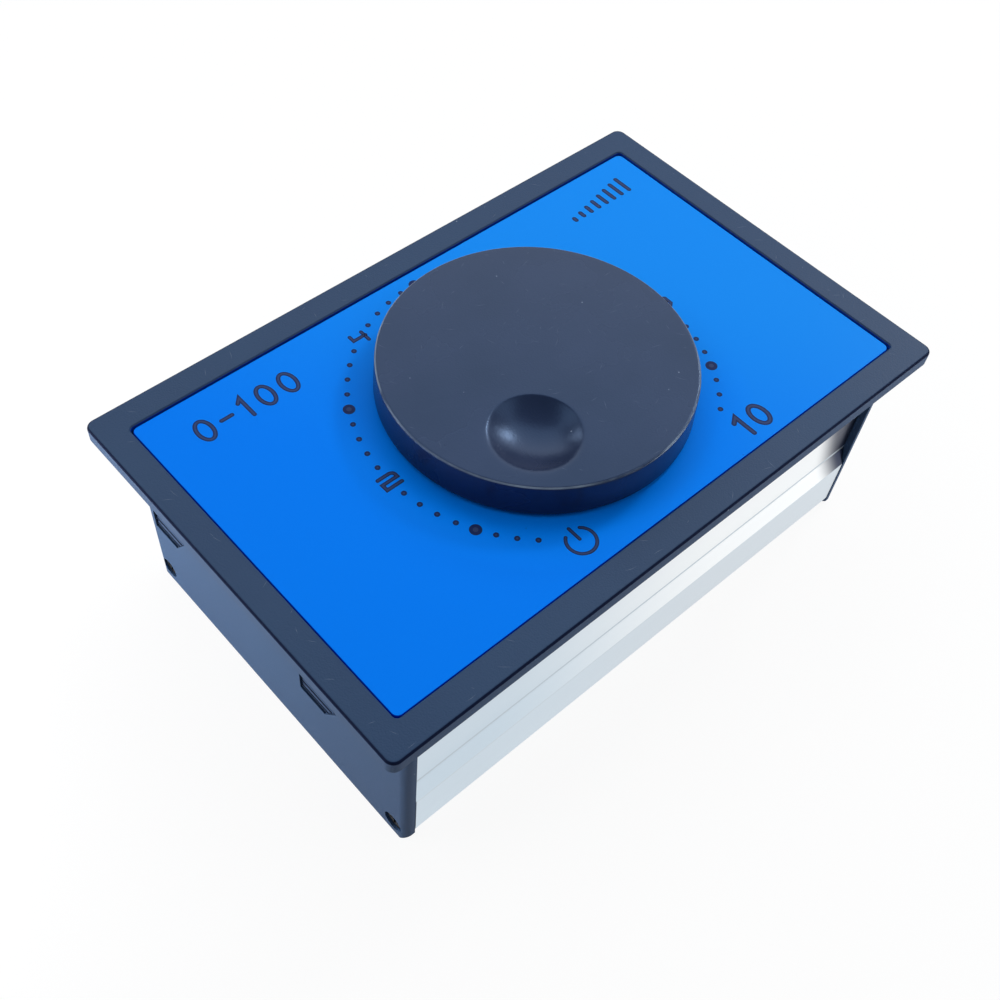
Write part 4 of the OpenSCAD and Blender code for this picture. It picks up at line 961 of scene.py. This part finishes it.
def bezelShade(tree, coordinates, facing, color):
    # the outer roundings over and under a side are painted dark as shade; painted ribs of shade and highlight
    # run along the pocket floors
    # a pocket is a box of |x|, |y| and z; a rib's crest is the middle of every pitch in height
    # dull: sides a little, roundings and grooves much more; the wall round the window is painted with a
    # reflection of the blue face
    split = newNode(tree, "ShaderNodeSeparateXYZ", inputs={0: coordinates}).outputs
    acrossX, acrossY = (maths(tree, "ABSOLUTE", split[axis]) for axis in (0, 1))
    z, upward = split[2], axisValue(tree, facing, 2)

    def compare(operation, value, key):
        return maths(tree, operation, value, bezelLook[key] * mm)

    side = maths(tree, "LESS_THAN", maths(tree, "ABSOLUTE", upward), bezelLook["sideLimit"])
    wall = product(tree, side, compare("LESS_THAN", acrossX, "wallX"), compare("LESS_THAN", acrossY, "wallY"),
                   compare("GREATER_THAN", z, "wallZ"))
    # painted reflection of the face on the window's wall
    color = mixColors(tree, wall, color, rgba(bezelLook["wallReflectionTone"]))
    dull = product(tree, side, bezelLook["sideDull"])
    outer = maths(tree, "MAXIMUM", compare("GREATER_THAN", acrossX, "rimX"),
                  compare("GREATER_THAN", acrossY, "rimY"))
    # painted shade on the outer roundings
    for low, high in bezelLook["edgeSpans"]:
        rounding = product(tree, zoneMask(tree, upward, low, high, bezelLook["edgeSoft"]), outer)
        color = mixColors(tree, rounding, color, rgba(bezelLook["edgeShadeTone"]))
        dull = maths(tree, "MAXIMUM", dull, product(tree, rounding, bezelLook["edgeDull"]))
    # painted shade in the pockets, with a painted highlight on each rib's crest
    pocket = product(tree, *(
        spanMask(tree, value, bezelLook[key], bezelLook["pocketSoft"])
        for value, key in ((acrossX, "pocketX"), (acrossY, "pocketY"), (z, "pocketZ"))))
    fromStart = maths(tree, "SUBTRACT", z, bezelLook["ribStart"] * mm)
    pitches = maths(tree, "DIVIDE", fromStart, bezelLook["ribPitch"] * mm)
    away = maths(tree, "ABSOLUTE", maths(tree, "SUBTRACT", maths(tree, "FRACT", pitches), 0.5))
    crest = zoneMask(tree, away, *bezelLook["crestSpan"], bezelLook["crestSoft"])
    ribs = mixColors(tree, crest, rgba(bezelLook["grooveShadeTone"]), rgba(bezelLook["crestHighlightTone"]))
    notCrest = maths(tree, "SUBTRACT", 1.0, product(tree, crest, bezelLook["crestDull"]))
    return mixColors(tree, pocket, color, ribs), maths(tree, "MAXIMUM", dull, product(tree, pocket, notCrest))


setMaterial(["bezel"], mouldedMaterial("bezelPlastic", bezelLook, shade=bezelShade))

# places in mm
channelLook = {
    "base": (0.94, 0.96, 0.97),
    "other": (0.88, 0.92, 0.94),
    "drift": 0.35,
    "driftScale": 25.0,
    "roughness": 0.26,
    "roughnessDrift": 0.1,
    "lineScale": 2600.0,
    "lineTone": 0.18,
    "lineColor": (0.76, 0.8, 0.84),
    "lineStrength": 0.22,
    "nearReflectionTone": (0.55, 0.67, 0.77),
    "nearSpan": (-38.0, 20.0),
    "nearWay": (1.0, 0.0, 0.0),
    "lowReflectionTone": (0.58, 0.66, 0.73),
    "lowBand": (-1000.0, 12.6),
    "bandEdge": 0.5,
    "toneShare": 0.85,
    "endReflectionTone": (0.012, 0.022, 0.06),
    "endWay": (1.0, 0.0, 0.35),
    "endSpan": (47.6, 54.0),
    # painted shade along the profile's two bends and its rounded foot: low and high edge, tone
    "lines": (((16.4, 17.15), (0.5, 0.58, 0.64)), ((12.1, 12.55), (0.58, 0.66, 0.72)),
              ((0.5, 1.1), (0.3, 0.32, 0.42))),
    "lineEdge": 0.15,
}


def profileShade(tree, coordinates, color):
    # the profile has painted reflections: it is painted greyer at its -X end, and greyer all along below the
    # knee;
    # over the knee a painted reflection of dark surroundings darkens its +X end
    share = slopeAlong(tree, coordinates, channelLook["nearWay"], channelLook["nearSpan"])
    near, low = (mixColors(tree, channelLook["toneShare"], color, rgba(channelLook[key]))
                 for key in ("nearReflectionTone", "lowReflectionTone"))
    darkReflection = slopeAlong(tree, coordinates, channelLook["endWay"], channelLook["endSpan"])
    upper = mixColors(tree, darkReflection, mixColors(tree, share, near, color), rgba(channelLook["endReflectionTone"]))
    height = axisValue(tree, coordinates, 2)
    band = spanMask(tree, height, channelLook["lowBand"], channelLook["bandEdge"])
    color = mixColors(tree, band, upper, mixColors(tree, share, near, low))
    for span, tone in channelLook["lines"]:
        line = spanMask(tree, height, span, channelLook["lineEdge"])
        color = mixColors(tree, line, color, rgba(tone))
    return color


setMaterial(["channel"], metalMaterial("anodisedProfile", channelLook, profileShade))
print("outer finishes set")

# metal parts: nodes, look
metalParts = {
    "blackOxide": (["case_screws"], {"base": (0.02, 0.02, 0.024), "roughness": 0.35, "lineScale": 4000.0}),
    "platedSteel": (
        ["pot_shaft", "pot_washer", "pot_nut", "board_screws", "back_screws", "transistor_screws",
         "terminal_screw_1", "terminal_screw_2", "terminal_screw_3", "terminal_screw_4"],
        {"base": (0.66, 0.67, 0.69), "roughness": 0.22, "lineScale": 5000.0, "lineTone": 0.25}),
    "castZinc": (["pot_bushing_plate"],
                 {"base": (0.55, 0.53, 0.48), "roughness": 0.42, "lineScale": 2500.0, "lineTone": 0.3}),
    "drawnCan": (["pot_can"], {"base": (0.6, 0.62, 0.65), "roughness": 0.3, "lineScale": 3500.0}),
    "springBrass": (["wiper", "switch_contact_arm", "switch_fixed_contacts"],
                    {"base": (0.72, 0.52, 0.2), "other": (0.6, 0.4, 0.14), "roughness": 0.26,
                     "lineScale": 5200.0}),
    "tinnedBrass": (["pot_lugs", "terminal_plates"],
                    {"base": (0.68, 0.66, 0.58), "roughness": 0.3, "lineScale": 4200.0}),
    "turnedBrass": (["standoffs"], {"base": (0.74, 0.56, 0.24), "roughness": 0.24, "lineScale": 6200.0}),
}
for name, (nodeNames, look) in metalParts.items():
    setMaterial(nodeNames, metalMaterial(name, look))

carbonRing = {"radii": (3.6, 6.9), "soft": 0.05}  # mm


def carbonZone(tree, coordinates):
    # ring of carbon about the dial's axis: distance from the axis between two radii
    return spanMask(tree, dialDistance(tree, coordinates), carbonRing["radii"], carbonRing["soft"])


# moulded parts: nodes, look, and where bare metal or another finish shows, in mm
boardTop = place["boardTop"]
brownTones = {"base": (0.14, 0.07, 0.03), "other": (0.2, 0.1, 0.045), "drift": 0.8, "driftScale": 260.0}
epoxyLook = {"base": (0.011, 0.011, 0.012), "other": (0.018, 0.018, 0.02), "roughness": 0.52,
             "grainScale": 2800.0, "grainStrength": 0.35, "zoneColor": (0.66, 0.66, 0.66),
             "zoneRoughness": 0.28}
sleeveLook = {"base": (0.016, 0.019, 0.028), "other": (0.026, 0.03, 0.042), "roughness": 0.28, "coat": 0.35,
              "grainScale": 900.0, "grainStrength": 0.15, "zoneColor": (0.78, 0.79, 0.8), "zoneRoughness": 0.3}
mouldedParts = {
    "brownLaminate": (["pot_rotor"], {**brownTones, "grainScale": 1800.0, "grainStrength": 0.25}, None),
    "carbonTrack": (["resistive_track"],
                    {**brownTones, "zoneColor": (0.012, 0.012, 0.013), "zoneRoughness": 0.38,
                     "zoneMetallic": 0.1},
                    carbonZone),
    "redMoulding": (["switch_case"],
                    {"base": (0.36, 0.07, 0.03), "other": (0.42, 0.1, 0.045), "drift": 0.6, "driftScale": 200.0,
                     "roughness": 0.46, "grainScale": 2600.0}, None),
    "pinHeader": (["pin_header"],
                  {"base": (0.02, 0.02, 0.022), "roughness": 0.42, "zoneColor": (0.8, 0.6, 0.25),
                   "zoneRoughness": 0.24}, outsideZone(2, boardTop - 0.01, boardTop + 2.56)),
    "powerPackage": (["power_transistors", "flyback_diodes"], epoxyLook,
                     outsideZone(2, boardTop + 4.0, boardTop + 13.2)),
    "chipPackage": (["control_chip"], epoxyLook, outsideZone(1, -21.2, -14.76)),
    "smallPackage": (["regulator"], epoxyLook, outsideZone(2, boardTop + 3.0, boardTop + 8.0)),
    "bigSleeve": (["reservoir_capacitors"], sleeveLook, axisZone(2, boardTop + 19.7, boardTop + 21.0)),
    "smallSleeve": (["small_capacitors"],
                    {**sleeveLook, "base": (0.02, 0.04, 0.1), "other": (0.03, 0.055, 0.13)},
                    axisZone(2, boardTop + 10.8, boardTop + 12.0)),
    "dippedFilm": (["film_capacitors"],
                   {"base": (0.5, 0.26, 0.03), "other": (0.58, 0.32, 0.05), "drift": 0.6, "driftScale": 150.0,
                    "roughness": 0.25, "coat": 0.5, "grainScale": 700.0, "grainStrength": 0.15}, None),
    "insulatingPad": (["insulating_pads"],
                      {"base": (0.55, 0.52, 0.47), "other": (0.6, 0.58, 0.52), "roughness": 0.6,
                       "grainScale": 5000.0, "grainStrength": 0.2}, None),
    "blockPlastic": (["terminal_block"],
                     {"base": (0.018, 0.021, 0.027), "other": (0.026, 0.03, 0.038), "roughness": 0.46,
                      "grainScale": 2400.0, "grainStrength": 0.4, "scratches": 0.3, "specks": 0.4}, None),
}
for name, (nodeNames, look, zones) in mouldedParts.items():
    setMaterial(nodeNames, mouldedMaterial(name, look, zones))

boardLook = {
    "base": (0.008, 0.1, 0.032),
    "other": (0.012, 0.14, 0.045),
    "drift": 0.6,
    "driftScale": 70.0,
    "roughness": 0.32,
    "roughnessDrift": 0.08,
    "coat": 0.4,
    "trackColor": (0.03, 0.24, 0.08),
    "tracks": {"Scale": 240.0, "Mortar Size": 0.06, "Mortar Smooth": 0.1, "Brick Width": 0.9,
               "Row Height": 0.3},
    "trackDepth": 0.00003,
    "trackStrength": 0.5,
}


def boardMaterial(name, look):
    # lacquered board: copper tracks show on both faces as a paler green grid of bricks under the lacquer
    material, tree, shader, coordinates, facing = startMaterial(name, look)
    flat = maths(tree, "GREATER_THAN", maths(tree, "ABSOLUTE", axisValue(tree, facing, 2)), 0.5)
    drift = driftTones(tree, coordinates, look["driftScale"], look["drift"], look["base"], look["other"])
    bricks = newNode(tree, "ShaderNodeTexBrick", inputs={"Vector": coordinates, **look["tracks"]})
    tracks = product(tree, bricks.outputs["Fac"], flat)
    color = mixColors(tree, tracks, drift["Color"], rgba(look["trackColor"]))
    roughness = mixValues(tree, drift["Mask"], look["roughness"], look["roughness"] + look["roughnessDrift"])
    tree.links.new(color, shader.inputs["Base Color"])
    tree.links.new(roughness, shader.inputs["Roughness"])
    connectBump(tree, shader, tracks, look["trackDepth"], look["trackStrength"])
    return material


setMaterial(["pot_board", "main_board"], boardMaterial("circuitBoard", boardLook))

# places along X in mm; a band is its middle's distance from the body's middle, and its colour
resistorLook = {
    "base": (0.55, 0.42, 0.24),
    "other": (0.6, 0.48, 0.3),
    "drift": 0.5,
    "driftScale": 300.0,
    "roughness": 0.35,
    "coat": 0.3,
    "leadColor": (0.62, 0.62, 0.62),
    "middles": (19.74, 34.78, -3.76),
    "halfBody": 3.22,
    "halfBand": 0.3,
    "bandSoft": 0.04,
    "bodySoft": 0.02,
    "bands": ((-2.3, (0.3, 0.02, 0.01)), (-1.3, (0.02, 0.02, 0.02)),
              (-0.3, (0.6, 0.2, 0.01)), (2.0, (0.5, 0.3, 0.06))),
    "grainScale": 2600.0,
    "grainDepth": 0.00001,
    "grainStrength": 0.2,
}


def resistorMaterial(name, look):
    # colour bands across the body and bare leads past its ends, by distance from the nearest body's middle
    material, tree, shader, coordinates, _ = startMaterial(name, look)
    x = axisValue(tree, coordinates, 0)
    nearest, *others = [maths(tree, "SUBTRACT", x, middle * mm) for middle in look["middles"]]
    for offset in others:
        closer = maths(tree, "LESS_THAN", maths(tree, "ABSOLUTE", offset), maths(tree, "ABSOLUTE", nearest))
        nearest = mixValues(tree, closer, nearest, offset)
    drift = driftTones(tree, coordinates, look["driftScale"], look["drift"], look["base"], look["other"])
    color = drift["Color"]
    half = look["halfBand"]
    for middle, bandColor in look["bands"]:
        band = spanMask(tree, nearest, (middle - half, middle + half), look["bandSoft"])
        color = mixColors(tree, band, color, rgba(bandColor))
    body = spanMask(tree, nearest, (-look["halfBody"], look["halfBody"]), look["bodySoft"])
    lead = maths(tree, "SUBTRACT", 1.0, body)
    tree.links.new(mixColors(tree, lead, color, rgba(look["leadColor"])), shader.inputs["Base Color"])
    tree.links.new(lead, shader.inputs["Metallic"])
    grain = useGroup(tree, "mouldGrain", Vector=coordinates, Scale=look["grainScale"])
    connectBump(tree, shader, grain["Height"], look["grainDepth"], look["grainStrength"])
    return material


setMaterial(["resistors"], resistorMaterial("lacqueredResistor", resistorLook))
print("inner finishes set")

studio = {
    "floorSize": 3.0,
    "floor": {"Base Color": (0.88, 0.885, 0.89, 1.0), "Roughness": 0.9, "Specular IOR Level": 0.1},
    "floorGlow": 0.92,
    "zenith": (0.26, 0.275, 0.3),
    "horizon": (0.035, 0.04, 0.05),
    "roomSpan": (0.02, 0.75),
    "backdropTop": 0.08,
    "lamps": (
        # name, place, aimed at, width, height, watts
        ("backSoftbox", (0.325, 0.273, 0.53), (0.0, 0.0, 0.04), 0.75, 0.6, 2.5),
        ("rightPanel", (0.55, 0.055, 0.47), (0.0, 0.0, 0.04), 0.1, 0.1, 1.05),
        ("backPanel", (-0.05, 0.6, 0.4), (0.0, 0.0, 0.04), 0.2, 0.16, 0.6),
        ("leftFill", (-0.28, 0.28, 0.5), (0.0, 0.0, 0.04), 0.4, 0.3, 0.65),
        ("rightFill", (0.28, -0.32, 0.5), (0.0, 0.0, 0.04), 0.4, 0.3, 0.55),
        ("leftCard", (-0.15, 0.105, 0.018), (0.0, 0.085, 0.018), 0.18, 0.03, 0.35),
        ("frontCard", (0.14, -0.14, 0.02), (0.08, 0.0, 0.02), 0.12, 0.03, 0.13),
    ),
    "cameraPlace": (-0.099067, -0.087512, 0.185529),
    "cameraTurn": (0.894279, 0.273957, -0.12743, -0.330112),
    "cameraLens": 44.6972,
    "cameraSensor": 36.0,
    "cameraShift": (0.034, 0.034),
    "cameraClip": (0.005, 20.0),
}


def seenDirectly(tree, mirrored=1.0):
    # 1 for camera and transmission rays, and mirrored for glossy rays
    path = tree.nodes.new("ShaderNodeLightPath").outputs
    through = maths(tree, "MAXIMUM", path["Is Camera Ray"], path["Is Transmission Ray"])
    return maths(tree, "MAXIMUM", through, product(tree, path["Is Glossy Ray"], mirrored))


def buildFloor():
    # pale ground that glows white to the eye by floorGlow, and still takes the object's shadow
    material, tree, shader = newMaterial("paleFloor", studio["floor"])
    glow = newNode(tree, "ShaderNodeEmission", inputs={"Color": (1.0, 1.0, 1.0, 1.0), "Strength": 1.0})
    share = product(tree, seenDirectly(tree), studio["floorGlow"])
    mix = newNode(tree, "ShaderNodeMixShader", inputs={0: share, 1: shader.outputs[0], 2: glow.outputs[0]})
    tree.links.new(mix.outputs[0], tree.nodes["Material Output"].inputs["Surface"])
    half = studio["floorSize"] / 2
    mesh = bpy.data.meshes.new("floor")
    corners = [(-half, -half, 0), (half, -half, 0), (half, half, 0), (-half, half, 0)]
    mesh.from_pydata(corners, [], [(0, 1, 2, 3)])
    mesh.materials.append(material)
    floor = bpy.data.objects.new("floor", mesh)
    scene.collection.objects.link(floor)


def buildWorld():
    # white to the camera, through clear parts and, down at the horizon, in mirrors;
    # to every other ray a room that darkens from ceiling to horizon
    world = bpy.data.worlds.new("studioRoom")
    scene.world = world
    world.use_nodes = True
    tree = world.node_tree
    up = axisValue(tree, tree.nodes.new("ShaderNodeTexCoord").outputs["Generated"], 2)
    share = smoothShare(tree, up, *studio["roomSpan"])
    room = mixColors(tree, share, rgba(studio["horizon"]), rgba(studio["zenith"]))
    direct = seenDirectly(tree, smoothShare(tree, up, 0.0, studio["backdropTop"], 1.0, 0.0))
    white = mixColors(tree, direct, room, (1.0, 1.0, 1.0, 1.0))
    tree.links.new(white, tree.nodes["Background"].inputs["Color"])


def buildLamps():
    for name, spot, target, width, height, watts in studio["lamps"]:
        data = bpy.data.lights.new(name, "AREA")
        data.shape = "RECTANGLE"
        data.size, data.size_y, data.energy = width, height, watts
        lamp = bpy.data.objects.new(name, data)
        lamp.location = spot
        lamp.rotation_euler = (Vector(target) - Vector(spot)).to_track_quat("-Z", "Y").to_euler()
        lamp.visible_camera = False
        scene.collection.objects.link(lamp)


def buildCamera():
    data = bpy.data.cameras.new("photoCamera")
    data.lens = studio["cameraLens"]
    data.sensor_width = studio["cameraSensor"]
    data.shift_x, data.shift_y = studio["cameraShift"]
    data.clip_start, data.clip_end = studio["cameraClip"]
    camera = bpy.data.objects.new("photoCamera", data)
    camera.rotation_mode = "QUATERNION"
    camera.location = studio["cameraPlace"]
    camera.rotation_quaternion = studio["cameraTurn"]
    scene.collection.objects.link(camera)
    scene.camera = camera


buildFloor()
buildWorld()
buildLamps()
buildCamera()
scene.view_settings.view_transform = "Standard"
print("studio ready")
